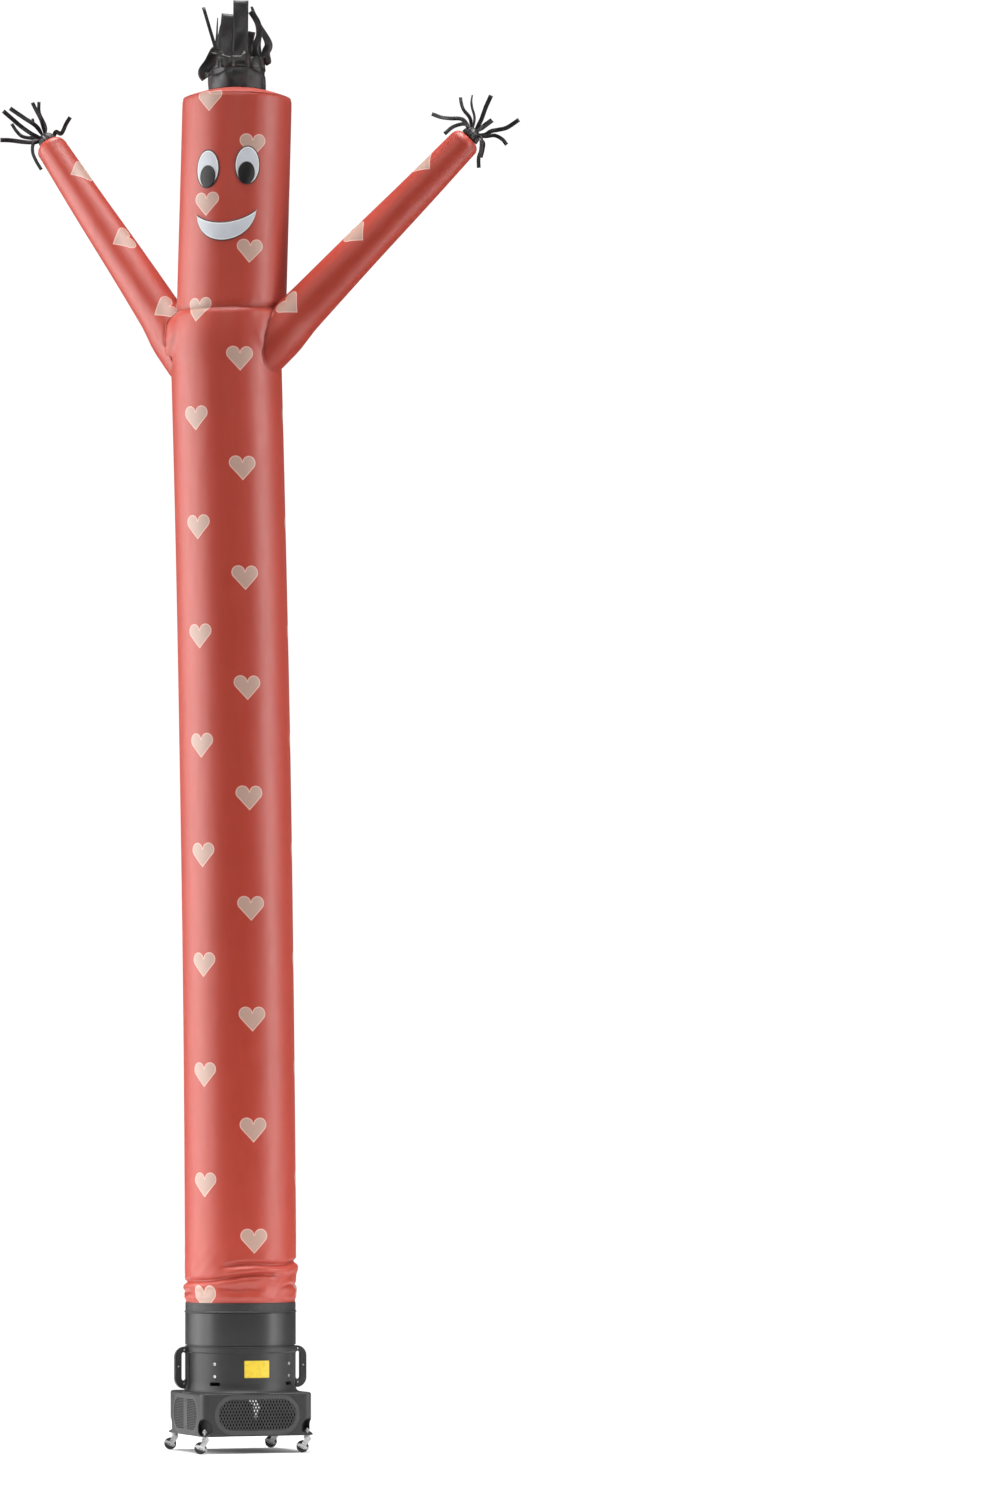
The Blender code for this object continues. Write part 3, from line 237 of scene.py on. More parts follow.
def off_axis(angle, radius, z):
    """The same for a piece that stands on its own axis."""
    return Vector((radius * math.sin(angle), -radius * math.cos(angle), z))


def gathers(angle, count, drift, turns):
    """Uneven pleats round a seam, from 0 to 1."""
    return 0.5 + 0.5 * math.sin(count * angle + drift * math.sin(turns * angle))


def fold_depth(angle, z):
    """How far the gathered cloth above the hem moves in or out."""
    degrees = math.degrees(angle)
    moved = 0.0
    for row in FOLDS:
        fold = dict(zip(FOLD_COLUMNS, row))
        low = min(fold["from_angle"], fold["to_angle"])
        high = max(fold["from_angle"], fold["to_angle"])
        for turn in (degrees - 360, degrees, degrees + 360):
            fade = smooth((turn - low) / FOLD_FADE + 0.5)
            fade *= smooth((high - turn) / FOLD_FADE + 0.5)
            if fade <= 0:
                continue
            share = (turn - fold["from_angle"]) / (fold["to_angle"] - fold["from_angle"])
            wave = FOLD_WAVE * math.sin(FOLD_WAVE_TURNS * math.pi * share)
            above = (z - mix(fold["from_z"], fold["to_z"], share) - wave) / fold["half_width"]
            trough = math.exp(-(above**2))
            roll = math.exp(-(((above + ROLL_BELOW) / ROLL_WIDTH) ** 2))
            moved += fade * (fold["roll"] * roll - fold["trough"] * trough)
    return moved


def neck_tuck(z):
    """How far the seam draws the cloth in at the neck."""
    return NECK_TUCK * math.exp(-(((z - NECK_Z) / NECK_TUCK_REACH) ** 2))


def body_radius(angle, z):
    leaving = smooth((z - BAND_TOP - HEM_CLEAR) / HEM_SWELL_RISE)
    radius = mix(HEM_RADIUS, BODY_RADIUS, leaving)
    if BAND_TOP < z < FOLDS_TOP:
        radius += leaving * fold_depth(angle, z)
    off = (z - SHOULDER_Z) / SHOULDER_REACH
    sideways = mix(SHOULDER_EVEN, 1.0, math.sin(angle) ** 2)
    radius += SHOULDER_SWELL * max(0.0, 1 - off * off) * sideways
    radius = mix(radius, NECK_RADIUS, smooth((z - NECK_Z + NECK_PULL) / NECK_PULL) ** 2)
    return radius - neck_tuck(z)


def head_radius(z):
    radius = mix(NECK_RADIUS, HEAD_RADIUS, smooth((z - NECK_Z) / NECK_SWELL_RISE) ** 0.5)
    radius -= HEAD_CORNER * smooth((z - HEAD_TOP) / HEAD_CORNER_RISE + 1) ** 2
    return radius - neck_tuck(z)


def dome(radius):
    """Rise of the cap above its seam at a distance from the head's axis."""
    share = radius / head_radius(HEAD_TOP)
    return DOME_HEIGHT * (1 - share * share)


def spans(*marks):
    """Values from (from, step) marks up to the last, which is a plain number."""
    values = []
    for i, (start, step) in enumerate(marks[:-1]):
        after = marks[i + 1]
        stop = after[0] if isinstance(after, tuple) else after
        count = max(1, round((stop - start) / step))
        values += [mix(start, stop, k / count) for k in range(count)]
    return [*values, marks[-1]]


def eased_run(points, steps):
    """A smooth run of points through the given ones."""
    ends = [points[0] * 2 - points[1], *points, points[-1] * 2 - points[-2]]
    run = []
    for i in range(len(points) - 1):
        a, b, c, d = ends[i : i + 4]
        for k in range(steps):
            t = k / steps
            bend = (2 * a - 5 * b + 4 * c - d) * (t * t) + (3 * b - a - 3 * c + d) * t**3
            run.append((b * 2 + (c - a) * t + bend) * 0.5)
    return [*run, points[-1]]


# ------------------------------------------------------------------ material nodes


def new_material(name, colour, roughness, metallic=0.0):
    made = bpy.data.materials.new(name)
    made.use_nodes = True
    made.diffuse_color = (*colour, 1.0)
    shader = made.node_tree.nodes["Principled BSDF"]
    shader.inputs["Base Color"].default_value = (*colour, 1.0)
    shader.inputs["Roughness"].default_value = roughness
    shader.inputs["Metallic"].default_value = metallic
    return made, made.node_tree, shader


def feed(tree, source, socket):
    if hasattr(source, "is_output"):
        tree.links.new(source, socket)
    else:
        socket.default_value = source


def maths(tree, operation, first, second=0.0, third=0.0, clamp=False):
    step = tree.nodes.new("ShaderNodeMath")
    step.operation = operation
    step.use_clamp = clamp
    for value, socket in zip((first, second, third), step.inputs):
        feed(tree, value, socket)
    return step.outputs[0]


def blend_colours(tree, share, first, second, way="MIX"):
    step = tree.nodes.new("ShaderNodeMix")
    step.data_type = "RGBA"
    step.blend_type = way
    feed(tree, share, step.inputs["Factor"])
    for value, socket in ((first, step.inputs[6]), (second, step.inputs[7])):
        feed(tree, (*value, 1.0) if isinstance(value, tuple) else value, socket)
    return step.outputs[2]


def between(tree, value, low, high, out_low=0.0, out_high=1.0):
    step = tree.nodes.new("ShaderNodeMapRange")
    step.inputs["From Min"].default_value = low
    step.inputs["From Max"].default_value = high
    step.inputs["To Min"].default_value = out_low
    step.inputs["To Max"].default_value = out_high
    tree.links.new(value, step.inputs["Value"])
    return step.outputs[0]


def object_place(tree):
    return tree.nodes.new("ShaderNodeTexCoord").outputs["Object"]


def noise(tree, place, scale, detail=2.0, stretch=None):
    if stretch:
        mapping = tree.nodes.new("ShaderNodeMapping")
        mapping.inputs["Scale"].default_value = stretch
        tree.links.new(place, mapping.inputs["Vector"])
        place = mapping.outputs[0]
    step = tree.nodes.new("ShaderNodeTexNoise")
    step.inputs["Scale"].default_value = scale
    step.inputs["Detail"].default_value = detail
    tree.links.new(place, step.inputs["Vector"])
    return step.outputs["Fac"]


def bump(tree, shader, *layers):
    """Stacks (height, depth in metres) layers on the shader's normal."""
    normal = None
    for height, depth in layers:
        step = tree.nodes.new("ShaderNodeBump")
        step.inputs["Distance"].default_value = depth
        step.inputs["Strength"].default_value = 1.0
        tree.links.new(height, step.inputs["Height"])
        if normal:
            tree.links.new(normal, step.inputs["Normal"])
        normal = step.outputs[0]
    tree.links.new(normal, shader.inputs["Normal"])


def cut_coordinates(tree, name):
    source = tree.nodes.new("ShaderNodeUVMap")
    source.uv_map = name
    parts = tree.nodes.new("ShaderNodeSeparateXYZ")
    tree.links.new(source.outputs[0], parts.inputs[0])
    return parts.outputs[0], parts.outputs[1]


def repeat(tree, value, start, period):
    """Distance from the nearest repeat, from -period/2 to period/2."""
    moved = maths(tree, "ADD", value, period / 2 - start)
    return maths(tree, "SUBTRACT", maths(tree, "FLOORED_MODULO", moved, period), period / 2)


def mottle(tree, pattern, low, high, first, second):
    """One colour that turns to another as a pattern climbs from low to high."""
    return blend_colours(tree, between(tree, pattern, low, high), first, second)


def colour_and_gloss(tree, shader, colour, pattern, low, high):
    """Links a colour, and a roughness that follows a pattern from low to high."""
    tree.links.new(colour, shader.inputs["Base Color"])
    tree.links.new(between(tree, pattern, 0.3, 0.7, low, high), shader.inputs["Roughness"])


# ------------------------------------------------------------------ printed hearts

HEART_UNIT = 0.0565
LOBE = (0.495, 0.505)
HEART_TIP = -1.285
HEART_MIDDLE = -0.39
HEART_SHARP = 110.0
# The triangle's lines in heart units: their slopes across and up, and one's place
FLANK_X, FLANK_Y = -0.7363, 0.6767
BELOW_X, BELOW_Y, BELOW_AT = -0.4540, -0.8910, 0.0891


def heart_print(tree, across, up, rows):
    """Two values: one where a printed heart lies, and one along its thin pale rim.
    Rows are (across, period, up, period, slant) of the hearts' middles. A heart is
    two discs, each over a triangle that runs down to the tip."""
    depth = None
    for across_start, across_period, up_start, up_period, slant in rows:
        drift = maths(tree, "MULTIPLY_ADD", up, -slant, across)
        x = repeat(tree, drift, across_start, across_period)
        y = repeat(tree, up, up_start, up_period)
        x = maths(tree, "ABSOLUTE", maths(tree, "MULTIPLY", x, 1 / HEART_UNIT))
        y = maths(tree, "MULTIPLY_ADD", y, 1 / HEART_UNIT, HEART_MIDDLE)
        side = maths(tree, "SUBTRACT", x, LOBE[0])
        squares = maths(tree, "MULTIPLY_ADD", y, y, maths(tree, "MULTIPLY", side, side))
        disc = maths(tree, "SUBTRACT", LOBE[1], maths(tree, "SQRT", squares))
        flank = maths(tree, "MULTIPLY_ADD", x, FLANK_X, FLANK_Y * -HEART_TIP)
        flank = maths(tree, "MULTIPLY_ADD", y, FLANK_Y, flank)
        below = maths(tree, "MULTIPLY_ADD", x, BELOW_X, BELOW_AT)
        below = maths(tree, "MULTIPLY_ADD", y, BELOW_Y, below)
        heart = maths(tree, "MAXIMUM", disc, maths(tree, "MINIMUM", flank, below))
        depth = maths(tree, "MAXIMUM", depth, heart) if depth else heart
    inside = maths(tree, "MULTIPLY", depth, HEART_SHARP, clamp=True)
    rim = between(tree, depth, 0.060, 0.090, 1.0, 0.0)
    return inside, rim


def weave(tree, across, up, pitch):
    """Fine over-and-under threads."""
    warp = maths(tree, "SINE", maths(tree, "MULTIPLY", across, TURN / pitch))
    weft = maths(tree, "SINE", maths(tree, "MULTIPLY", up, TURN / pitch))
    return maths(tree, "MULTIPLY", warp, weft)


def stitch_rows(tree, distance, run, places, pitch=0.0045, thread=0.0007):
    """Dashes of thread along a sewn edge, at set distances from it."""
    found = None
    dash = maths(tree, "LESS_THAN", maths(tree, "FLOORED_MODULO", run, pitch), pitch * 0.68)
    for place in places:
        off = maths(tree, "ABSOLUTE", maths(tree, "SUBTRACT", distance, place))
        line = maths(tree, "MULTIPLY", maths(tree, "LESS_THAN", off, thread), dash)
        found = maths(tree, "MAXIMUM", found, line) if found else line
    return found


RED = (0.478, 0.047, 0.025)
RED_DEEP = (0.450, 0.042, 0.021)
# A darker red: painted shade in the pinch of the seams
RED_SEAM_SHADE = (0.20, 0.02, 0.012)
# A darker red: painted shade under the back seam's lap
RED_LAP_SHADE = (0.18, 0.02, 0.012)
RED_THREAD = (0.42, 0.06, 0.045)
HEART_PINK = (0.530, 0.340, 0.275)
HEART_RIM = (0.780, 0.490, 0.420)


def red_nylon(name, heart_rows, back_seam):
    """Shiny red nylon with pale printed hearts, thread along its sewn edges, and painted shade along its
    seams.
    """
    made, tree, shader = new_material(name, RED, 0.44)
    across, up = cut_coordinates(tree, "print")
    distance, run = cut_coordinates(tree, "seams")
    place = object_place(tree)
    cloudy = noise(tree, place, 3.2, 3.0)
    colour = mottle(tree, cloudy, 0.35, 0.68, RED, RED_DEEP)
    hearts, rims = heart_print(tree, across, up, heart_rows)
    ink = blend_colours(tree, rims, HEART_PINK, HEART_RIM)
    colour = blend_colours(tree, hearts, colour, ink)
    # Painted shade: the cloth darkens within 4 mm of a seam, where its pinch lies in shade
    seam_shade = between(tree, distance, 0.0, 0.004, 0.13, 0.0)
    colour = blend_colours(tree, seam_shade, colour, RED_SEAM_SHADE)
    thread = stitch_rows(tree, distance, run, (0.0042, 0.0088))
    if back_seam:
        edge = maths(tree, "SUBTRACT", math.pi * BODY_RADIUS, maths(tree, "ABSOLUTE", across))
        back = stitch_rows(tree, edge, up, (0.0030, 0.0090))
        thread = maths(tree, "MAXIMUM", thread, back)
        # Painted shade: a dark line along the edge of the back seam's lap
        lap_shade = between(tree, edge, 0.0, 0.0012, 0.5, 0.0)
        colour = blend_colours(tree, lap_shade, colour, RED_LAP_SHADE)
    colour = blend_colours(tree, maths(tree, "MULTIPLY", thread, 0.5), colour, RED_THREAD)
    threads = weave(tree, across, up, 0.0007)
    shine = noise(tree, place, 38.0, 3.0, (1.0, 1.0, 0.35))
    colour_and_gloss(tree, shader, colour, shine, 0.40, 0.47)
    shader.inputs["Specular IOR Level"].default_value = 0.74
    shader.inputs["Sheen Weight"].default_value = 0.06
    shader.inputs["Sheen Roughness"].default_value = 0.45
    soft = noise(tree, place, 7.0, 2.0, (1.0, 1.0, 0.45))
    bump(tree, shader, (soft, 0.0035), (thread, 0.0004), (threads, 0.00004))
    return made


def twill_patch(name, colour, roughness):
    """Close patch cloth with slanting ribs."""
    made, tree, shader = new_material(name, colour, roughness)
    across, up = cut_coordinates(tree, "print")
    slant = maths(tree, "ADD", across, up)
    ribs = maths(tree, "SINE", maths(tree, "MULTIPLY", slant, TURN / 0.0011))
    place = object_place(tree)
    cloudy = noise(tree, place, 14.0, 3.0)
    darker = tuple(c * 0.90 for c in colour)
    base = mottle(tree, cloudy, 0.35, 0.7, colour, darker)
    colour_and_gloss(tree, shader, base, cloudy, roughness - 0.05, roughness + 0.06)
    bump(tree, shader, (ribs, 0.00007), (noise(tree, place, 60.0, 2.0), 0.0004))
    return made


def satin(name, colour, roughness):
    """Soft glossy satin with creases and long floats."""
    made, tree, shader = new_material(name, colour, roughness)
    across = cut_coordinates(tree, "print")[0]
    crush = noise(tree, object_place(tree), 26.0, 4.0)
    # Painted sheen: the crush's raised creases are painted lighter and warmer
    warm_sheen = tuple(min(1.0, c * f) for c, f in zip(colour, (2.5, 1.25, 1.15)))
    base = mottle(tree, crush, 0.48, 0.74, colour, warm_sheen)
    floats = maths(tree, "SINE", maths(tree, "MULTIPLY", across, TURN / 0.0009))
    colour_and_gloss(tree, shader, base, crush, roughness - 0.07, roughness + 0.08)
    shader.inputs["Sheen Weight"].default_value = 0.10
    shader.inputs["Sheen Roughness"].default_value = 0.35
    bump(tree, shader, (crush, 0.0016), (floats, 0.00004))
    return made


def moulded_plastic(name, colour, roughness, grain, worn):
    """Moulded plastic: a leathery grain, patchy gloss and a lighter rubbed bloom."""
    made, tree, shader = new_material(name, colour, roughness)
    place = object_place(tree)
    patchy = noise(tree, place, 9.0, 4.0)
    rubbed = tuple(min(1.0, c * worn) for c in colour)
    base = mottle(tree, patchy, 0.40, 0.75, colour, rubbed)
    fine = noise(tree, place, 420.0, 3.0)
    base = blend_colours(tree, between(tree, fine, 0.35, 0.75, 0.0, 0.35), base, rubbed)
    colour_and_gloss(tree, shader, base, fine, roughness - 0.06, roughness + 0.08)
    bump(tree, shader, (fine, grain), (patchy, grain * 1.5))
    return made


def zinc_plate():
    """Bright zinc on pressed steel, with faint spangle and handling marks."""
    made, tree, shader = new_material("bright_zinc", (0.56, 0.56, 0.56), 0.32, 1.0)
    place = object_place(tree)
    spangle = noise(tree, place, 240.0, 3.0)
    marks = noise(tree, place, 45.0, 4.0)
    base = mottle(tree, marks, 0.45, 0.75, (0.60, 0.60, 0.60), (0.30, 0.30, 0.30))
    colour_and_gloss(tree, shader, base, spangle, 0.20, 0.42)
    bump(tree, shader, (spangle, 0.00012))
    return made


def black_rubber():
    made, tree, shader = new_material("black_rubber", (0.022, 0.022, 0.023), 0.55)
    place = object_place(tree)
    dust = noise(tree, place, 90.0, 4.0)
    base = mottle(tree, dust, 0.45, 0.8, (0.020, 0.020, 0.021), (0.060, 0.058, 0.055))
    colour_and_gloss(tree, shader, base, dust, 0.48, 0.66)
    bump(tree, shader, (noise(tree, place, 500.0, 2.0), 0.00015))
    return made


def printed_plate(name, colour, roughness):
    """A painted tin plate, left bare."""
    made, tree, shader = new_material(name, colour, roughness)
    place = object_place(tree)
    wear = noise(tree, place, 60.0, 4.0)
    darker = tuple(c * 0.84 for c in colour)
    base = mottle(tree, wear, 0.42, 0.72, colour, darker)
    colour_and_gloss(tree, shader, base, wear, roughness - 0.06, roughness + 0.10)
    bump(tree, shader, (noise(tree, place, 700.0, 1.0), 0.00005))
    return made


# The hearts' columns: middle round the tube, period, height, period, slant
GIRTH = TURN * BODY_RADIUS
BODY_HEARTS = (
    (math.radians(-40.8) * BODY_RADIUS, GIRTH, 0.6335, 0.4447, 0.0049),
    (math.radians(92.5) * BODY_RADIUS, GIRTH, 0.6417, 0.4447, 0.0),
    (math.radians(-153.0) * BODY_RADIUS, GIRTH, 0.6417, 0.4447, 0.0),
    (math.radians(14.2) * BODY_RADIUS, GIRTH / 3, 0.8515, 0.4475, 0.0),
)
# On an arm they lie across it: place along it, period, middle round it, period, slant
ARM_HEARTS = {
    "left": ((0.101, 0.3790, 0.0, 1.0, 0.0),),
    "right": ((0.119, 0.3975, 0.0, 1.0, 0.0),),
}
# Where round an arm its hearts' middles are at the root, and how far on a metre along
HEART_TURN = {"left": (125.5, 40.0), "right": (-111.5, -36.0)}
HEART_WAY = {"left": 1.0, "right": -1.0}

MATERIALS = {
    "red": red_nylon("red_nylon", BODY_HEARTS, True),
    "red_left": red_nylon("red_nylon_left_arm", ARM_HEARTS["left"], False),
    "red_right": red_nylon("red_nylon_right_arm", ARM_HEARTS["right"], False),
    "white": twill_patch("white_twill", (0.640, 0.665, 0.720), 0.50),
    # A lighter copy of the white twill for the patches' turned rims: a painted highlight
    "rim": twill_patch("white_rim_painted_highlight", (0.860, 0.860, 0.860), 0.50),
    "outline": twill_patch("dark_edge_stitch", (0.050, 0.025, 0.024), 0.60),
    "black": twill_patch("black_twill", (0.0045, 0.0045, 0.0045), 0.40),
    "band": twill_patch("black_hem_band", (0.026, 0.026, 0.027), 0.42),
    "satin": satin("black_satin", (0.015, 0.0145, 0.0155), 0.36),
    "collar": moulded_plastic("smooth_collar_plastic", (0.0265, 0.0265, 0.027), 0.36, 0.00004, 1.15),
    "case": moulded_plastic("grained_case_plastic", (0.0195, 0.0195, 0.020), 0.46, 0.00022, 1.35),
    # Near-black for the box's insides and the cans in it: dark plastic, painted darker still as the shade in
    # the hollow
    "inside": moulded_plastic("inner_plastic_painted_shade", (0.0035, 0.0035, 0.0035), 0.85, 0.00010, 1.20),
    "mesh": moulded_plastic("grille_plastic", (0.048, 0.048, 0.049), 0.50, 0.00012, 1.30),
    "zinc": zinc_plate(),
    "rubber": black_rubber(),
    "yellow": printed_plate("yellow_enamel", (0.830, 0.600, 0.045), 0.34),
    "plate_edge": printed_plate("black_enamel_edge", (0.030, 0.028, 0.024), 0.40),
}


# ------------------------------------------------------------------ cloth pieces


def pick_piece(piece):
    if bpy.context.mode != "OBJECT":
        bpy.ops.object.mode_set(mode="OBJECT")
    bpy.ops.object.select_all(action="DESELECT")
    piece.select_set(True)
    bpy.context.view_layer.objects.active = piece


def apply_modifier(piece, step):
    pick_piece(piece)
    bpy.ops.object.modifier_apply(modifier=step.name)
    piece.select_set(False)


def set_piece(piece, finish, body, *stands_for):
    """Sets a finished piece on its body, and hides the solids it stands for. The finish it is given is not
    used.
    """
    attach(piece, body)
    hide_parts(*stands_for)
    return piece


class Cloth:
    """A sheet laid out in rows of points, with its print and its seam distances."""

    def __init__(self):
        self.bm = bmesh.new()
        self.print = self.bm.loops.layers.uv.new("print")
        self.seams = self.bm.loops.layers.uv.new("seams")

    def lay(self, rows, closed=False, pole=False, finish=0):
        """Rows of (point, print, seam). A closed sheet repeats its first column, whose
        last copy carries the print on. A pole draws the last row together."""
        verts = []
        for row in rows:
            count = len(row) - 1 if closed else len(row)
            made = [self.bm.verts.new(row[i][0]) for i in range(count)]
            verts.append(made + made[:1] if closed else made)
        for r in range(len(rows) - 1):
            for c in range(len(rows[r]) - 1):
                ring = ((r, c), (r, c + 1), (r + 1, c + 1), (r + 1, c))
                face = self.bm.faces.new([verts[i][k] for i, k in ring])
                face.smooth = True
                face.material_index = finish
                for loop, (i, k) in zip(face.loops, ring):
                    loop[self.print].uv = rows[i][k][1]
                    loop[self.seams].uv = rows[i][k][2]
        if pole:
            bmesh.ops.pointmerge(self.bm, verts=list(set(verts[-1])), merge_co=pole)
        return verts

    def finish(self, name, finishes, place=STAND, wall=WALL, offset=-1.0):
        bmesh.ops.dissolve_degenerate(self.bm, dist=0.000001, edges=self.bm.edges[:])
        mesh = bpy.data.meshes.new(name)
        self.bm.to_mesh(mesh)
        self.bm.free()
        mesh.transform(place)
        for finish in finishes:
            mesh.materials.append(MATERIALS[finish])
        piece = bpy.data.objects.new(name, mesh)
        bpy.context.scene.collection.objects.link(piece)
        if wall:
            step = piece.modifiers.new("wall", "SOLIDIFY")
            step.thickness = wall
            step.offset = offset
            apply_modifier(piece, step)
        return piece


def around(columns):
    """Angles from the back, round the front and to the back again."""
    return [math.pi * (2 * i / columns - 1) for i in range(columns + 1)]


def arm_frame(side):
    root, tip = ARMS[side]
    along = tip - root
    place = Matrix.Translation(root) @ along.to_track_quat("Z", "Y").to_matrix().to_4x4()
    return place, along.length


def arm_radius(s, length):
    straight = length - ARM_TIP_CORNER
    share = min(1.0, max(0.0, s / straight))
    radius = mix(ARM_ROOT_RADIUS, ARM_TIP_RADIUS, share)
    return radius + ARM_FLARE * (1 - smooth(s / ARM_FLARE_REACH))


def neck_drop(angle):
    """How far the neck's seam hangs below its level place."""
    return 0.014 + 0.010 * max(0.0, math.cos(angle)) - 0.005 * math.sin(angle)


NECK_DROP_REACH = 0.16


def hang(angle, z):
    """The height that a place on the cut cloth hangs at."""
    return z - neck_drop(angle) * (1 - smooth(abs(z - NECK_Z) / NECK_DROP_REACH))


def off_body(point):
    """Distance of a point outside the body's or the head's cloth."""
    across = point.x - lean(point.z)
    angle = math.atan2(across, -point.y)
    z = point.z + point.z - hang(angle, point.z)
    wall = body_radius(angle, z) if z < NECK_Z else head_radius(z)
    return math.hypot(across, point.y) - wall - shoulder_pull(angle, z)


def mouth_distance(side, point):
    """How far a point on the body lies outside the arm's mouth, and where round it."""
    place, length = arm_frame(side)
    local = place.inverted() @ point
    behind = 0.3 * (1 - smooth((local.z + 0.24) / 0.20))
    off = math.hypot(local.x, local.y) - arm_radius(local.z, length)
    return off + behind, math.atan2(local.x, -local.y)


PULL_REACH = 0.075
ARMS_ABOVE = 4.2
SHOULDER_PULL = {"left": 0.022, "right": 0.006}


def shoulder_pull(angle, z):
    """How far the arms draw the body's cloth out round their mouths."""
    if z < ARMS_ABOVE or z > NECK_Z:
        return 0.0
    point = on_tube(angle, body_radius(angle, z), z)
    moved = 0.0
    for side, depth in SHOULDER_PULL.items():
        off, _ = mouth_distance(side, point)
        moved += depth * smooth(1 - off / PULL_REACH) ** 1.5
    return moved * smooth((NECK_Z - z) / 0.06)


PUCKER_REACH = 0.040
PUCKER_DEPTH = 0.0016


def mouth_pucker(side, point):
    """Small dents drawn in by the stitching round an arm's mouth."""
    off, turn = mouth_distance(side, point)
    if off > PUCKER_REACH:
        return 0.0
    near = 1 - max(0.0, off) / PUCKER_REACH
    wave = math.sin(17 * turn + 0.8) + 0.6 * math.sin(29 * turn + 2.1)
    return -PUCKER_DEPTH * near * near * (1.1 + 0.5 * wave)


def body_relief(angle, z):
    """Slack in the cloth that is too fine for the solids."""
    moved = 0.0006 * math.sin(3 * angle + 1.3 * z) * math.sin(2.1 * z + angle)
    low = smooth((0.90 - z) / 0.20) * smooth((z - BAND_TOP - HEM_CLEAR) / 0.02)
    if low:
        slant = 9 * angle + 46 * z
        moved += 0.0010 * low * math.sin(slant) * math.sin(2.3 * angle + 0.6)
        moved += 0.0007 * low * math.sin(21 * angle - 90 * z + 1.1)
    near_hem = smooth((0.650 - z) / 0.040) * smooth((z - BAND_TOP - 0.001) / 0.008)
    moved -= 0.0011 * near_hem * gathers(angle, 34, 2, 5)
    near_neck = smooth((z - NECK_Z + 0.07) / 0.05) * smooth((NECK_Z - z) / 0.004)
    return moved - 0.0009 * near_neck * gathers(angle, 41, 3, 7)


def build_body():
    cloth = Cloth()
    heights = spans(
        (HEM_BOTTOM, 0.018), (BAND_TOP, 0.0035), (0.640, 0.0042), (0.820, 0.008),
        (0.900, 0.055), (4.340, 0.010), (4.600, 0.0045), (4.655, 0.0025), NECK_Z - GAP,
    )
    rows = []
    for z in heights:
        row = []
        for angle in around(TUBE_COLUMNS):
            radius = body_radius(angle, z)
            if z > BAND_TOP:
                radius += body_relief(angle, z)
            if z > ARMS_ABOVE:
                there = on_tube(angle, radius, z)
                radius += mouth_pucker("left", there) + mouth_pucker("right", there)
                radius += shoulder_pull(angle, z)
            across = angle * BODY_RADIUS
            hung = hang(angle, z)
            printed = hung + 0.015 * smooth((0.72 - z) / 0.08)
            row.append((on_tube(angle, radius, hung), (across, printed), (NECK_Z - z, across)))
        rows.append(row)
    cloth.lay(rows, closed=True)

    def behind_arm(face, side):
        return all(mouth_distance(side, v.co)[0] < -0.012 for v in face.verts)

    high = [face for face in cloth.bm.faces if face.calc_center_median().z > ARMS_ABOVE]
    hidden = [face for face in high if any(behind_arm(face, side) for side in ARMS)]
    bmesh.ops.delete(cloth.bm, geom=hidden, context="FACES")
    body = set_piece(cloth.finish("body_cloth", ["red"]), "red", BODY, "body_tube")


# How much faster the head's print climbs than the cloth it is on
HEAD_SHIFT = 0.034


def build_head():
    cloth = Cloth()
    heights = spans(
        (NECK_Z, 0.0022), (4.715, 0.010), (4.83, 0.030),
        (HEAD_TOP - 0.045, 0.005), (HEAD_TOP - 0.012, 0.002), HEAD_TOP,
    )
    rows = []
    for z in heights:
        row = []
        low = smooth((4.75 - z) / 0.06) * smooth((z - NECK_Z) / 0.005)
        high = smooth((z - HEAD_TOP + 0.05) / 0.04) * smooth((HEAD_TOP - z) / 0.004)
        for angle in around(TUBE_COLUMNS):
            gather = gathers(angle, 38, 3, 5)
            radius = head_radius(z) - 0.0009 * low * gather - 0.0006 * high * gather
            radius += 0.0005 * math.sin(3 * angle + 0.4) * math.sin(4.4 * z)
            across = angle * BODY_RADIUS
            lower = smooth((z - 4.70) / 0.18)
            edge = min(z - NECK_Z, HEAD_TOP - z)
            hung = hang(angle, z)
            printed = (across - 0.016 * lower, hung + HEAD_SHIFT * (z - NECK_Z))
            row.append((on_tube(angle, radius, hung), printed, (edge, across)))
        rows.append(row)
    cloth.lay(rows, closed=True)
    head = set_piece(cloth.finish("head_cloth", ["red"]), "red", BODY, "head_tube")


def build_head_cap():
    cloth = Cloth()
    rim = head_radius(HEAD_TOP)
    rows = []
    for inward in spans((0.0, 0.002), (0.012, 0.006), (0.040, 0.013), rim - 0.010):
        radius = rim - inward
        row = []
        for angle in around(TUBE_COLUMNS):
            near = math.exp(-inward / 0.016) - math.exp(-inward / 0.002)
            rise = dome(radius) + 0.0010 * near * gathers(angle, 36, 3, 4)
            z = HEAD_TOP + GAP + rise
            point = on_tube(angle, radius, z)
            across = angle * BODY_RADIUS
            printed = HEAD_TOP + HEAD_SHIFT * (HEAD_TOP - NECK_Z) + inward
            row.append((point, (across - 0.016, printed), (inward, across)))
        rows.append(row)
    top = HEAD_TOP + GAP + dome(0)
    cloth.lay([*rows, rows[-1]], closed=True, pole=Vector((lean(top), 0, top)))
    cap = cloth.finish("head_cap_cloth", ["red"], offset=1.0)
    set_piece(cap, "red", BODY, "head_cap")


# How far the seam's lip, groove and swell stand from an arm's own wall
SEAM_LIP = 0.0016
SEAM_GROOVE = 0.0014


def meeting_place(column_point, turn):
    """How far along an arm a column of its cloth comes clear of the body."""
    inside, outside = -0.35, 0.60
    for _ in range(40):
        middle = (inside + outside) / 2
        if off_body(column_point(turn, middle)) > 0.0008:
            outside = middle
        else:
            inside = middle
    return outside


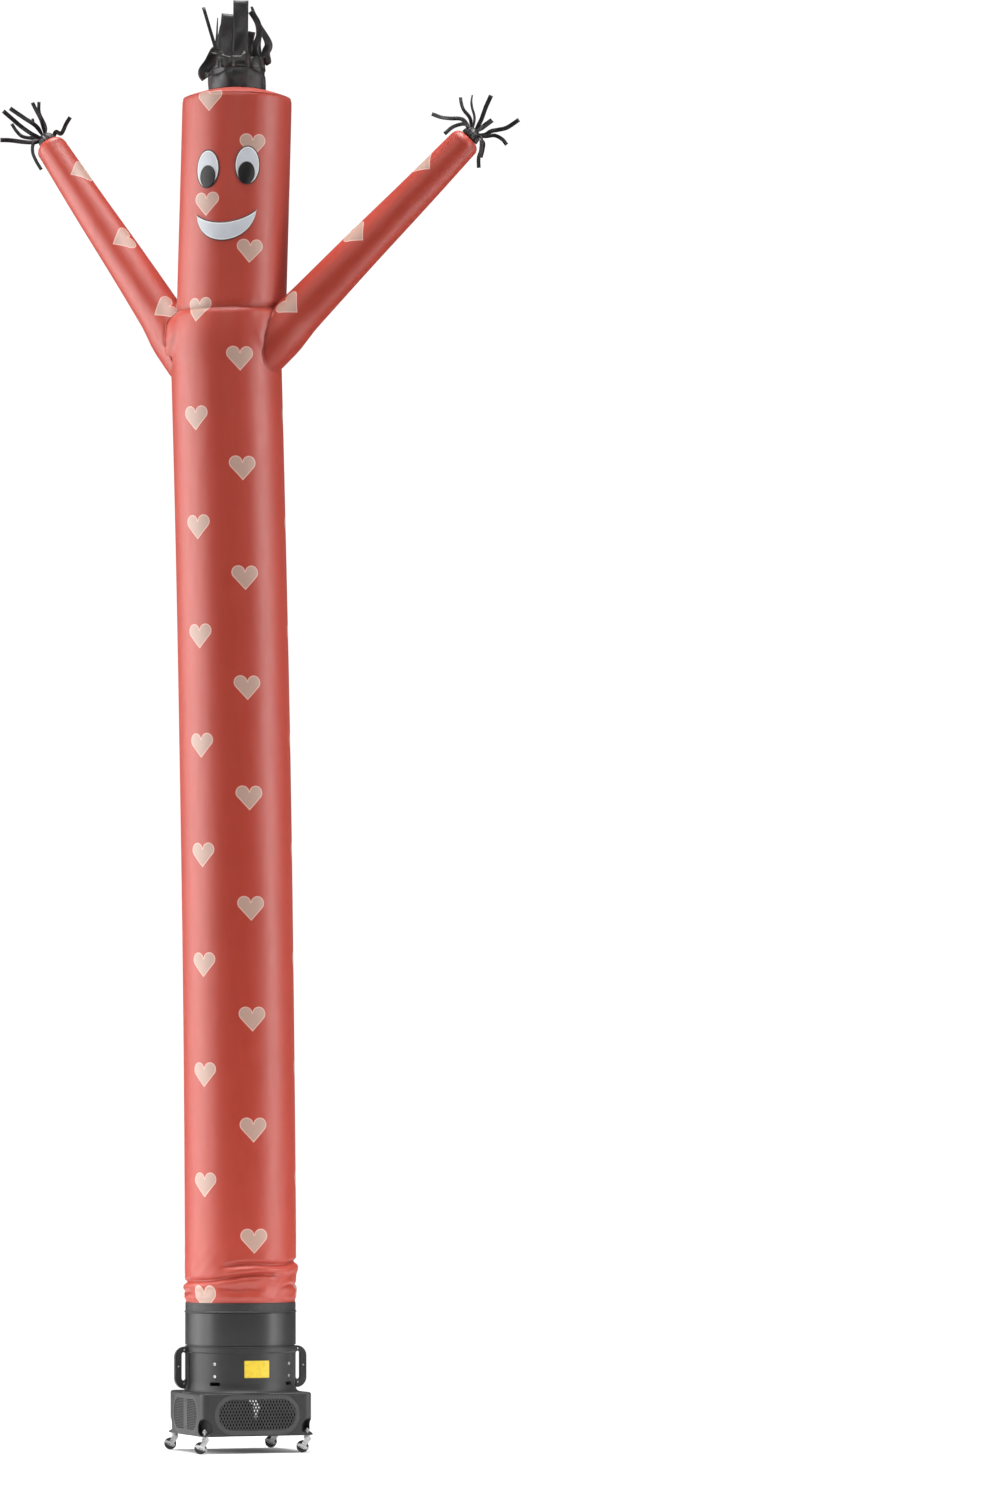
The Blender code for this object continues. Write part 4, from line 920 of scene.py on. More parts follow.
def build_arm(side):
    place, length = arm_frame(side)
    straight = length - ARM_TIP_CORNER

    def column_point(turn, s, moved=0.0):
        return place @ off_axis(turn, arm_radius(s, length) + moved, s)

    first, drift = HEART_TURN[side]

    def printed(turn, s):
        middle = math.radians(first + drift * s)
        return HEART_WAY[side] * (turn - middle) * arm_radius(s, length)

    turns = [math.radians(first) + turn for turn in around(ARM_COLUMNS)]
    starts = [meeting_place(column_point, turn) for turn in turns]
    shares = (0, 0.0025, 0.005, 0.009, 0.014, 0.021, 0.030, 0.042, 0.058, 0.08, 0.11)
    shares += tuple(mix(0.145, 1.0, k / 22) for k in range(23))
    rows = []
    for share in shares:
        row = []
        for turn, start in zip(turns, starts):
            s = mix(start, straight, share)
            away = s - start
            lip = SEAM_LIP * math.exp(-((away / 0.0022) ** 2))
            groove = SEAM_GROOVE * math.exp(-(((away - 0.0065) / 0.006) ** 2))
            wave = math.sin(15 * turn + 0.5) + 0.6 * math.sin(26 * turn + 1.9)
            pucker = 0.0008 * (0.8 + 0.5 * wave) * math.exp(-away / 0.022)
            slack = 0.0008 * math.sin(3 * turn + 9 * s) * smooth(away / 0.1)
            point = column_point(turn, s, lip - groove - pucker + slack)
            row.append((point, (s, printed(turn, s)), (away, turn * 0.1)))
        rows.append(row)
    for degrees in range(8, 97, 8):
        bend = math.radians(min(90, degrees))
        s = straight + ARM_TIP_CORNER * math.sin(bend)
        inward = ARM_TIP_CORNER * (1 - math.cos(bend))
        row = []
        for turn in turns:
            pleat = gathers(turn, 19, 2, 3)
            radius = ARM_TIP_RADIUS - inward - 0.0022 * pleat * smooth(inward / ARM_TIP_CORNER)
            point = place @ off_axis(turn, radius, s)
            row.append((point, (s, printed(turn, s)), (0.02, turn * 0.1)))
        rows.append(row)
    cloth = Cloth()
    last = place @ Vector((0, 0, length))
    cloth.lay([*rows, rows[-1]], closed=True, pole=last)
    finish = "red_" + side
    arm = set_piece(cloth.finish("arm_cloth_" + side, [finish]), finish, BODY, "arm_" + side)


# ------------------------------------------------------------------ face patches


def face_point(angle, height, across, up, lift):
    turn = math.radians(angle) + across / HEAD_RADIUS
    z = height + up
    return on_tube(turn, head_radius(z) + FACE_LIFT + lift, z)


def oval_patch(name, finish, angle, height, size, shift, lift, node):
    """An oval patch of rings: its edge stitching, its turned rim and its field."""
    cloth = Cloth()
    half = (size[0] / 2, size[1] / 2)

    def ring(inset, share=1.0):
        row = []
        for turn in around(72):
            across = (half[0] - inset) * share * math.sin(turn) + shift
            up = (half[1] - inset) * share * math.cos(turn)
            pillow = 0.0012 * (1 - share**4) + 0.0005 * smooth(inset / EDGE_TURN)
            point = face_point(angle, height, across, up, lift + pillow)
            row.append((point, (across, up), (0, 0)))
        return row

    rings = [ring(0.0), ring(EDGE_STITCH), ring(EDGE_TURN)]
    rings += [ring(EDGE_TURN, share) for share in (0.80, 0.60, 0.40, 0.18)]
    middle = face_point(angle, height, shift, 0.0, lift + 0.0017)
    cloth.lay(rings[:2], closed=True, finish=1)
    cloth.lay(rings[1:3], closed=True, finish=2)
    cloth.lay([*rings[2:], rings[-1]], closed=True, pole=middle)
    close_patch(cloth)
    # The turned rim takes the lighter white: a painted highlight
    finishes = ["white", "outline", "rim"] if finish == "white" else ["black"] * 3
    piece = cloth.finish(name, finishes, wall=PATCH, offset=1.0)
    set_piece(piece, finish, BODY, node)


def close_patch(cloth):
    """Joins a patch's rows, faced outwards."""
    bmesh.ops.remove_doubles(cloth.bm, verts=cloth.bm.verts, dist=0.00002)
    cloth.bm.normal_update()
    for face in cloth.bm.faces:
        if face.normal.dot(FRONT) < 0:
            face.normal_flip()


def smile_drop(across, deepest):
    radius = (SMILE_HALF_WIDTH**2 + deepest**2) / (2 * deepest)
    return math.sqrt(radius**2 - across**2) - (radius - deepest)


def build_smile():
    cloth = Cloth()
    steps = 56
    rise = SMILE_TILT / SMILE_HALF_WIDTH
    columns = []
    for i in range(steps + 1):
        across = SMILE_HALF_WIDTH * math.sin(math.pi / 2 * (2 * i / steps - 1)) * 0.9995
        high = rise * across - smile_drop(across, SMILE_DROPS[0])
        low = rise * across - smile_drop(across, SMILE_DROPS[1])
        stitch = min(EDGE_STITCH, (high - low) * 0.2)
        rim = min(EDGE_TURN, (high - low) * 0.42)
        ups = [low, low + stitch, low + rim]
        ups += [mix(low + rim, high - rim, share) for share in (0.2, 0.5, 0.8)]
        ups += [high - rim, high - stitch, high]
        column = []
        for up in ups:
            middle = 1 - abs(2 * (up - low) / max(0.0001, high - low) - 1)
            lift = 0.0015 * smooth(middle * 2.5)
            point = face_point(SMILE_ANGLE, SMILE_TIP_Z, across, up, FACE_LIFT + lift)
            column.append((point, (across, up), (0, 0)))
        columns.append(column)
    rows = [list(row) for row in zip(*columns)]
    # Finish 2, the rim, is the lighter white: a painted highlight
    for first, last, finish in ((0, 2, 1), (1, 3, 2), (2, 7, 0), (6, 8, 2), (7, 9, 1)):
        cloth.lay(rows[first:last], finish=finish)
    close_patch(cloth)
    piece = cloth.finish("smile_cloth", ["white", "outline", "rim"], wall=PATCH, offset=1.0)
    set_piece(piece, "white", BODY, "smile")


def build_face():
    for side, angle in EYE_ANGLES.items():
        eye_z = EYE_HEIGHTS[side]
        oval_patch("eye_cloth_" + side, "white", angle, eye_z, EYE_SIZE, 0.0, FACE_LIFT, "eye_" + side)
        lift = 2 * FACE_LIFT + PATCH + 0.0008
        pupil_z = eye_z - PUPIL_DROP
        shift = PUPIL_SHIFT[side]
        oval_patch("pupil_cloth_" + side, "black", angle, pupil_z, PUPIL_SIZE, shift, lift, "pupil_" + side)
    build_smile()


# ------------------------------------------------------------------ satin tufts


def hair_foot():
    z = HEAD_TOP + GAP + dome(HAIR_RADIUS) + WALL + 0.0007
    return Vector((lean(z), 0, z))


def skirt_radius(angle, rise):
    """The gathered skirt: it swells over its foot and draws in at its top."""
    share = min(1.0, max(0.0, rise / HAIR_SKIRT))
    wave = math.sin(HAIR_GATHERS * angle + 0.7) + 0.5 * math.sin(2 * HAIR_GATHERS * angle + 1.9)
    fine = math.sin(13 * angle + 9 * share) + 0.5 * math.sin(23 * angle - 7 * share)
    swell = 0.0050 * math.sin(math.pi * share) - 0.0050 * share
    depth = 0.0030 * smooth(share * 2.2) * (1 + wave) + 0.0011 * share * fine
    crease = 0.0035 * math.exp(-((share - 0.62 - 0.12 * math.sin(3 * angle + 1)) ** 2) / 0.006)
    return HAIR_RADIUS + swell - depth - crease * smooth(share * 3)


def strip_length(points):
    return sum((b - a).length for a, b in zip(points, points[1:]))


def lay_strip(cloth, line, width, twist, root, settled, seed):
    """One strip: a row of points for each place on its line. Its root is sewn down,
    and it comes free by the row called settled."""
    steps = len(line) - 1
    length = strip_length(line)
    start = (line[1] - line[0]).normalized()
    sewn_way = root(1.0, 0) - root(-1.0, 0)
    way = -1 if FRONT.cross(start).dot(sewn_way) < 0 else 1
    rows = []
    for i, middle in enumerate(line):
        ahead = line[min(i + 1, steps)] - line[max(i - 1, 0)]
        along = ahead.normalized()
        flat = FRONT - along * FRONT.dot(along)
        flat.normalize()
        share = i / steps
        turn = math.radians(twist) * max(0.0, (i - settled) / max(1, steps - settled))
        flat = Matrix.Rotation(turn, 3, along) @ flat
        side = flat.cross(along).normalized() * way
        free = smooth((i - settled * 0.4) / (settled * 0.6 + 0.01))
        row = []
        for across in (-1.0, -0.6, -0.2, 0.2, 0.6, 1.0):
            crush = width * 0.10 * math.sin(7 * share + 2.7 * seed + 1.6 * across)
            crush += width * 0.05 * math.sin(19 * share + seed - 2.2 * across)
            curl = width * 0.07 * math.sin(seed * 1.7) * across * across
            crush *= (1 - 0.75 * share) * smooth((1 - share) * 6 + 0.25)
            loose = middle + side * (across * width / 2) + flat * (crush + curl)
            place = root(across, i).lerp(loose, free)
            row.append((place, (across * width / 2, length * share), (0, 0)))
        rows.append(row)
    cloth.lay(rows)
    return width * length


def build_hair_skirt():
    foot = hair_foot()
    cloth = Cloth()
    rows = []
    for rise in spans((0.0, 0.0028), HAIR_SKIRT):
        row = []
        for angle in around(180):
            radius = skirt_radius(angle, rise)
            point = foot + off_axis(angle, radius, rise)
            row.append((point, (angle * HAIR_RADIUS, rise), (0, 0)))
        rows.append(row)
    cloth.lay(rows, closed=True)
    skirt = cloth.finish("hair_skirt_satin", ["satin"], wall=SATIN)
    set_piece(skirt, "satin", BODY, "hair_skirt")


# The strips' roots: half the angle each is sewn along, the seam's rise and its step
SEWN_ANGLE = 23
SEWN_RISE = 0.084
SEWN_STEP = 0.0068


def build_hair_strips():
    foot = hair_foot()
    cloth = Cloth()
    area = 0.0
    for seed, (width, twist, run) in enumerate(HAIR):
        points = [Vector(point) / 1000 for point in run]
        middle_angle = math.atan2(points[0].x, -points[0].y)

        def sewn(across, i, middle_angle=middle_angle, seed=seed):
            angle = middle_angle + across * math.radians(SEWN_ANGLE)
            rise = SEWN_RISE + SEWN_STEP * i
            radius = skirt_radius(angle, rise) + 0.0012 + 0.0007 * (seed % 3)
            return foot + off_axis(angle, radius, rise)

        low = sewn(0.0, 0)
        high = sewn(0.0, 6)
        line = eased_run([low, high, *[foot + point for point in points]], 6)
        area += lay_strip(cloth, line, width, twist, sewn, 12, seed + 1)
    strips = cloth.finish("hair_strips_satin", ["satin"], wall=SATIN, offset=0.0)
    set_piece(strips, "satin", BODY, "hair_strips")


def build_hand(side):
    place, length = arm_frame(side)
    end = place @ Matrix.Translation((0, 0, length))
    cloth = Cloth()
    rows = []
    for i in range(15):
        share = i / 14
        rise = 0.0008 + (HUB_HEIGHT + 0.004) * (1 - (1 - share) ** 1.7)
        row = []
        for turn in around(60):
            pleat = math.sin(8 * turn + 1.5 * share) + 0.5 * math.sin(17 * turn + 4 * share)
            radius = HUB_RADIUS * (1 - 0.80 * share**2.2) * (1 + 0.075 * pleat)
            point = end @ off_axis(turn, radius, rise)
            row.append((point, (turn * HUB_RADIUS, share * 0.04), (0, 0)))
        rows.append(row)
    top = end @ Vector((0, 0, HUB_HEIGHT + 0.004))
    cloth.lay([*rows, rows[-1]], closed=True, pole=top)
    area = math.pi * HUB_RADIUS**2 * 2.2
    middle = end @ Vector((0, 0, HUB_HEIGHT / 2))
    for seed, (width, twist, run) in enumerate(HANDS[side]):
        points = [Vector(point) / 1000 for point in run]
        way = points[0].normalized()
        start = middle + way * HUB_RADIUS * 0.55

        def knotted(across, i, start=start, way=way, width=width):
            out = way.cross(FRONT)
            out = out.normalized() if out.length > 0.01 else Vector((1, 0, 0))
            return start + way * (0.0035 * i) + out * (across * width * 0.28)

        line = eased_run([start, *[middle + point for point in points]], 7)
        area += lay_strip(cloth, line, width, twist, knotted, 5, seed + 2)
    name = "hand_tuft_satin_" + side
    tuft = cloth.finish(name, ["satin"], wall=SATIN, offset=0.0)
    set_piece(tuft, "satin", BODY, "hand_tuft_" + side)


def build_hem_band():
    """The black band over the hem, with its turned lower lip."""
    inner = HEM_RADIUS + GAP
    profile = [
        (inner, BAND_TOP - 0.0004), (inner + 0.0012, BAND_TOP), (inner + 0.0022, BAND_TOP - 0.0010),
        (inner + 0.0019, BAND_TOP - 0.0060), (inner + 0.0026, BAND_TOP - 0.0180),
        (inner + 0.0019, BAND_BOTTOM + 0.0100), (inner + 0.0023, BAND_BOTTOM + 0.0066),
        (inner + 0.0052, BAND_BOTTOM + 0.0048), (inner + 0.0062, BAND_BOTTOM + 0.0024),
        (inner + 0.0050, BAND_BOTTOM), (inner, BAND_BOTTOM), (inner, BAND_BOTTOM + 0.02),
        (inner, BAND_TOP - 0.0004),
    ]
    cloth = Cloth()
    rows = []
    for radius, z in reversed(profile):
        row = []
        for angle in around(160):
            point = off_axis(angle, radius, z)
            row.append((point, (angle * BODY_RADIUS, z + radius), (0, 0)))
        rows.append(row)
    cloth.lay(rows, closed=True)
    bmesh.ops.remove_doubles(cloth.bm, verts=cloth.bm.verts, dist=0.00002)
    bmesh.ops.recalc_face_normals(cloth.bm, faces=cloth.bm.faces)
    band = cloth.finish("hem_band_cloth", ["band"], wall=0)
    set_piece(band, "band", BODY, "hem_band")


# ------------------------------------------------------------------ shaping by hand


def open_mesh(piece, kind="FACE"):
    pick_piece(piece)
    bpy.ops.object.mode_set(mode="EDIT")
    bpy.ops.mesh.select_mode(type=kind)
    bpy.ops.mesh.select_all(action="DESELECT")


def close_mesh():
    bpy.ops.object.mode_set(mode="OBJECT")


def pick(piece, kind, test):
    """Selects the corners, edges or faces that pass a test, and nothing else."""
    bpy.ops.mesh.select_mode(type=kind)
    bpy.ops.mesh.select_all(action="DESELECT")
    bm = bmesh.from_edit_mesh(piece.data)
    bm.normal_update()
    for part in {"VERT": bm.verts, "EDGE": bm.edges, "FACE": bm.faces}[kind]:
        if test(part):
            part.select_set(True)
    bmesh.update_edit_mesh(piece.data)


def face_outwards():
    bpy.ops.mesh.select_all(action="SELECT")
    bpy.ops.mesh.normals_make_consistent(inside=False)


def extrude_all(move):
    """Extrudes all of the open mesh along a way, and faces it outwards."""
    bpy.ops.mesh.select_all(action="SELECT")
    bpy.ops.mesh.extrude_region_move(TRANSFORM_OT_translate={"value": move})
    face_outwards()


def bevel_edges(piece, test, offset, segments):
    """Bevels the open mesh's edges that pass a test."""
    pick(piece, "EDGE", test)
    bpy.ops.mesh.bevel(offset=offset, segments=segments, affect="EDGES")


def middle_of(edge):
    return (edge.verts[0].co + edge.verts[1].co) / 2


def runs_along(edge, axis):
    way = edge.verts[1].co - edge.verts[0].co
    return abs(way[axis]) > 0.95 * way.length


def settle(piece, name):
    """Names a piece and puts its place into its mesh."""
    pick_piece(piece)
    piece.name = name
    bpy.ops.object.transform_apply(location=True, rotation=True, scale=True)
    return piece


def block(name, low, high):
    middle = (Vector(low) + Vector(high)) / 2
    size = Vector(high) - Vector(low)
    bpy.ops.mesh.primitive_cube_add(size=1.0, location=middle, scale=size)
    return settle(bpy.context.object, name)


def turned(name, profile, sides, closed=False):
    """A turned piece: one ring of points drawn on through (radius, height) places."""
    radius, height = profile[0]
    bpy.ops.mesh.primitive_circle_add(vertices=sides, radius=radius, location=(0, 0, height))
    piece = settle(bpy.context.object, name)
    open_mesh(piece, "VERT")
    bpy.ops.mesh.select_all(action="SELECT")
    for next_radius, next_height in profile[1:]:
        rise = (0, 0, next_height - height)
        bpy.ops.mesh.extrude_region_move(TRANSFORM_OT_translate={"value": rise})
        if next_radius:
            grow = next_radius / radius
            middle = (0, 0, next_height)
            bpy.ops.transform.resize(value=(grow, grow, 1), center_override=middle)
            radius = next_radius
        else:
            bpy.ops.mesh.merge(type="CENTER")
        height = next_height
    if closed:
        pick(piece, "EDGE", lambda edge: edge.is_boundary)
        bpy.ops.mesh.bridge_edge_loops()
    elif profile[-1][0]:
        pick(piece, "EDGE", lambda edge: edge.is_boundary)
        bpy.ops.mesh.edge_face_add()
    face_outwards()
    close_mesh()
    return piece


def pole_end(piece):
    """Fills the open ring at one end."""
    open_mesh(piece, "EDGE")
    pick(piece, "EDGE", lambda edge: edge.is_boundary)
    bpy.ops.mesh.edge_face_add()
    close_mesh()
    return piece


def disc_pin(name, radius, depth, place, way, sides, edge=0.0, steps=3):
    """A round pin or bolt head that stands from a place along a direction."""
    turn = Vector(way).to_track_quat("Z", "Y").to_euler()
    middle = Vector(place) + Vector(way).normalized() * depth / 2
    bpy.ops.mesh.primitive_cylinder_add(
        vertices=sides, radius=radius, depth=depth, location=middle, rotation=turn
    )
    piece = bpy.context.object
    piece.name = name
    if edge:
        open_mesh(piece, "EDGE")
        at_end = depth / 2 - 0.00001
        bevel_edges(piece, lambda e: all(v.co.z > at_end for v in e.verts), edge, steps)
        close_mesh()
    return settle(piece, name)


def obround_face(name, width, height, y, z, sides=64):
    """A flat face with round ends, seen from the front, made of a stretched circle."""
    half_step = math.pi / sides
    bpy.ops.mesh.primitive_circle_add(
        vertices=sides,
        radius=height / 2,
        fill_type="NGON",
        location=(0, y, z),
        rotation=(math.pi / 2, half_step, 0),
    )
    piece = settle(bpy.context.object, name)
    open_mesh(piece, "VERT")
    for way in (1, -1):
        pick(piece, "VERT", lambda v, way=way: v.co.x * way > 0)
        bpy.ops.transform.translate(value=(way * (width - height) / 2, 0, 0))
    close_mesh()
    return piece


def obround_block(name, width, height, near, far, z, sides=64):
    piece = obround_face(name, width, height, near, z, sides)
    open_mesh(piece, "FACE")
    extrude_all((0, far - near, 0))
    close_mesh()
    return piece


def spin_about_axis(piece, angle):
    piece.rotation_euler = (0, 0, angle)
    return settle(piece, piece.name)


def join_or_cut(piece, other, operation):
    """A Boolean with another piece, which is used up."""
    step = piece.modifiers.new("cut", "BOOLEAN")
    step.operation = operation
    step.solver = "EXACT"
    step.object = other
    apply_modifier(piece, step)
    bpy.data.objects.remove(other, do_unlink=True)


def join_pieces(first, others):
    """Makes several pieces one, without fusing them."""
    pick_piece(first)
    for piece in others:
        piece.select_set(True)
    bpy.ops.object.join()
    return first


def soften_edges(piece, width, steps, angle):
    step = piece.modifiers.new("soft_edges", "BEVEL")
    step.width = width
    step.segments = steps
    step.limit_method = "ANGLE"
    step.angle_limit = math.radians(angle)
    step.harden_normals = False
    apply_modifier(piece, step)


def fit(piece, name, finish, body, place, stands_for=(), smooth_angle=35):
    """Sets a shaped piece on the frame with its finish."""
    piece.data.transform(place)
    piece.data.update()
    piece.name = name
    piece.data.name = name
    if not piece.data.materials:
        piece.data.materials.append(MATERIALS[finish])
    pick_piece(piece)
    bpy.ops.object.shade_smooth_by_angle(angle=math.radians(smooth_angle))
    step = piece.modifiers.new("face_normals", "WEIGHTED_NORMAL")
    step.keep_sharp = True
    apply_modifier(piece, step)
    return set_piece(piece, finish, body, *stands_for)


def copy_of(piece, place):
    """A copy with its own mesh, moved in its mesh."""
    made = piece.copy()
    made.data = piece.data.copy()
    bpy.context.scene.collection.objects.link(made)
    made.data.transform(place)
    return made


# ------------------------------------------------------------------ collar and housing

BOX_HALF = 0.235
BOX_BOTTOM = 0.069
BOX_TOP = 0.242
BOX_CORNER = 0.035
BOX_EDGE = 0.009
BOX_WALL = 0.004
NEAR = 0.0001
OVERCUT = 0.02
DRUM_RADIUS = 0.2205
RING_RADIUS = 0.2258
RING_BOTTOM = 0.402
RING_TOP = 0.4265
SPIGOT_TOP = 0.497
BORE_RADIUS = 0.2155
COLUMN_CHAMFER = 0.088
FLARE_RADIUS = 0.2372
FLARE_TOP = 0.2860
FLARE_DRAW = (0.0167, 0.0435)
DIMPLE_ANGLE = -61.0
DIMPLE_SIZE = (0.019, 0.0075, 0.0085)
DIMPLE_PLACE = (0, -0.2300, 0.2640)
STEM_PLACE = 0.215
STEM_HOLE = 0.0053
FOOT_RADIUS = 0.024
FOOT_TOP = 0.084
FOOT_BOTTOM = 0.070
POCKET_RADIUS = 0.034
POCKET_BACK = 0.032
POCKET_RISE = 0.022
PANEL_Z = 0.1545
PANEL_SIZE = (0.360, 0.161)
MESH_SIZE = (0.324, 0.125)
PANEL_RECESS = 0.0030
BOLT_ANGLES = (-45.0, 45.0, 135.0, 225.0)
VENT_HALF = 0.023
VENT_Z = (0.2700, 0.2840)
VENT_BACK = -0.205
VENT_CORNER = 0.0045
CORNERS = {
    "front_left": (-STEM_PLACE, -STEM_PLACE),
    "front_right": (STEM_PLACE, -STEM_PLACE),
    "rear_left": (-STEM_PLACE, STEM_PLACE),
    "rear_right": (STEM_PLACE, STEM_PLACE),
}


def build_collar():
    """The smooth duct collar: a step under the band, a rolled foot and a thin wall."""
    under_hem = HEM_RADIUS - 0.0018
    shoulder = BAND_BOTTOM - 0.0013
    profile = [
        (under_hem - 0.003, 0.600), (under_hem, 0.600), (under_hem, shoulder + 0.0010),
        (0.2240, shoulder), (0.2245, shoulder - 0.0008), (0.2245, 0.4345), (0.2250, 0.4337),
        (0.2250, 0.4325), (0.2244, 0.4320), (0.2215, 0.4320), (0.2215, 0.552),
        (under_hem - 0.003, 0.558),
    ]
    collar = turned("collar", profile, 144, closed=True)
    fit(collar, "duct_collar_shell", "collar", BODY, STAND, ["duct_collar"], 30)


def housing_shell():
    """The square box with its rounded corners, still solid: its hollow and its openings for air are cut
    later.
    """
    box = block("housing", (-BOX_HALF, -BOX_HALF, BOX_BOTTOM), (BOX_HALF, BOX_HALF, BOX_TOP))
    open_mesh(box, "EDGE")
    bevel_edges(box, lambda edge: runs_along(edge, 2), BOX_CORNER, 9)
    bevel_edges(box, lambda edge: min(v.co.z for v in edge.verts) > BOX_TOP - NEAR, BOX_EDGE, 5)
    bevel_edges(box, lambda edge: max(v.co.z for v in edge.verts) < BOX_BOTTOM + NEAR, 0.003, 3)
    close_mesh()
    return box


def drum_body():
    """The round drum that grows out of the box through a soft flare."""
    inward, upward = FLARE_DRAW
    flare = [(FLARE_RADIUS, 0.230), (FLARE_RADIUS, 0.2425)]
    for degrees in range(6, 91, 7):
        bend = math.radians(degrees)
        radius = FLARE_RADIUS - inward * math.sin(bend)
        flare.append((radius, FLARE_TOP - upward * math.cos(bend)))
    ring = [
        (DRUM_RADIUS, RING_BOTTOM - 0.003), (DRUM_RADIUS + 0.0010, RING_BOTTOM - 0.0008),
        (RING_RADIUS - 0.0012, RING_BOTTOM + 0.0004), (RING_RADIUS, RING_BOTTOM + 0.0020),
        (RING_RADIUS, RING_TOP - 0.0060), (RING_RADIUS - 0.0014, RING_TOP - 0.0052),
        (RING_RADIUS - 0.0014, RING_TOP - 0.0038), (RING_RADIUS, RING_TOP - 0.0030),
        (RING_RADIUS, RING_TOP - 0.0012), (RING_RADIUS - 0.0012, RING_TOP),
        (0.2190, RING_TOP), (0.2190, SPIGOT_TOP),
    ]
    drum = turned("drum", [*flare, *ring], 160)
    return pole_end(drum)


def cut_cavity(housing):
    inner = BOX_HALF - BOX_WALL
    cavity = block("cavity", (-inner, -inner, FOOT_TOP - 0.004), (inner, inner, BOX_TOP - BOX_WALL))
    open_mesh(cavity, "EDGE")
    bevel_edges(cavity, lambda edge: runs_along(edge, 2), COLUMN_CHAMFER, 1)
    close_mesh()
    join_or_cut(housing, cavity, "DIFFERENCE")
    low = BOX_TOP - BOX_WALL - OVERCUT
    bore = turned("bore", [(BORE_RADIUS, low), (BORE_RADIUS, SPIGOT_TOP + OVERCUT)], 160)
    pole_end(bore)
    join_or_cut(housing, bore, "DIFFERENCE")


def cut_air_ways(housing):
    """Shallow panel seats and the openings behind them, one on each side."""
    opening = (MESH_SIZE[0] + 0.006, MESH_SIZE[1] + 0.006)
    for i in range(4):
        for name, size, depth in (("seat", PANEL_SIZE, PANEL_RECESS), ("way", opening, 0.060)):
            cut = obround_block(name, *size, -BOX_HALF - OVERCUT, -BOX_HALF + depth, PANEL_Z)
            join_or_cut(housing, spin_about_axis(cut, i * TURN / 4), "DIFFERENCE")


def cut_vents(housing):
    """Level slots through the drum's wall, one under each pair of bolts."""
    half, low, high = VENT_HALF, *VENT_Z
    for degrees in BOLT_ANGLES:
        vent = block("vent", (-half, -DRUM_RADIUS - OVERCUT, low), (half, VENT_BACK, high))
        open_mesh(vent, "EDGE")
        bevel_edges(vent, lambda edge: runs_along(edge, 1), VENT_CORNER, 4)
        close_mesh()
        join_or_cut(housing, spin_about_axis(vent, math.radians(degrees)), "DIFFERENCE")


def cut_corner_pockets(housing):
    """An arched pocket over each foot, with the foot's round lip below it."""
    near = STEM_PLACE * math.sqrt(2) - POCKET_BACK
    far = near + POCKET_BACK + BOX_CORNER + 0.02
    arch_z = FOOT_TOP + POCKET_RISE
    for x, y in CORNERS.values():
        outward = math.atan2(y, x)
        bpy.ops.mesh.primitive_cylinder_add(
            vertices=48,
            radius=POCKET_RADIUS,
            depth=far - near,
            location=((near + far) / 2, 0, arch_z),
            rotation=(0, math.pi / 2, 0),
        )
        arch = settle(bpy.context.object, "arch")
        under = block("under", (near, -POCKET_RADIUS, FOOT_TOP), (far, POCKET_RADIUS, arch_z))
        join_or_cut(arch, under, "UNION")
        join_or_cut(housing, spin_about_axis(arch, outward), "DIFFERENCE")


def foot_lip(x, y):
    foot = turned("foot", [
        (0.0165, FOOT_BOTTOM), (FOOT_RADIUS - 0.0022, FOOT_BOTTOM),
        (FOOT_RADIUS - 0.0006, FOOT_BOTTOM + 0.0018),
        (FOOT_RADIUS, FOOT_BOTTOM + 0.0050), (FOOT_RADIUS, FOOT_TOP - 0.0050),
        (FOOT_RADIUS - 0.0006, FOOT_TOP - 0.0018), (FOOT_RADIUS - 0.0022, FOOT_TOP),
        (0.0165, FOOT_TOP),
    ], 48)
    pole_end(foot)
    foot.data.transform(Matrix.Translation((x, y, 0)))
    return foot


def cable_dimple(housing):
    """A long shallow hollow in the flare, the size of a thumb."""
    bpy.ops.mesh.primitive_uv_sphere_add(segments=32, ring_count=16, radius=1.0)
    hollow = bpy.context.object
    hollow.scale = DIMPLE_SIZE
    hollow.location = DIMPLE_PLACE
    settle(hollow, "hollow")
    join_or_cut(housing, spin_about_axis(hollow, math.radians(DIMPLE_ANGLE)), "DIFFERENCE")


def dark_cans():
    """Near-black cans, painted shade that darkens the meshes from behind: a bellied can with a waisted one
    beside it, a narrow bent gap between them, and a small one at the back."""
    belly = [
        (0.112, 0.0805), (0.118, 0.0860), (0.118, 0.1180), (0.108, 0.1320), (0.104, 0.1600), (0.100, 0.1830),
        (0.086, 0.2030), (0.084, 0.2220), (0.060, 0.2370),
    ]
    waist = [
        (0.082, 0.0805), (0.086, 0.0860), (0.086, 0.1250), (0.078, 0.1400), (0.070, 0.1640), (0.072, 0.1860),
        (0.080, 0.2050), (0.085, 0.2220), (0.050, 0.2370),
    ]
    cans = []
    small = [(0.043, 0.0805), (0.045, 0.0860), (0.045, 0.2300), (0.040, 0.2370)]
    for profile, x, y in ((belly, -0.048, 0.015), (waist, 0.1415, -0.043), (small, -0.158, 0.138)):
        can = pole_end(turned("can", profile, 64))
        can.data.transform(Matrix.Translation((x, y, 0)))
        can.data.materials.append(MATERIALS["inside"])
        cans.append(can)
    return cans


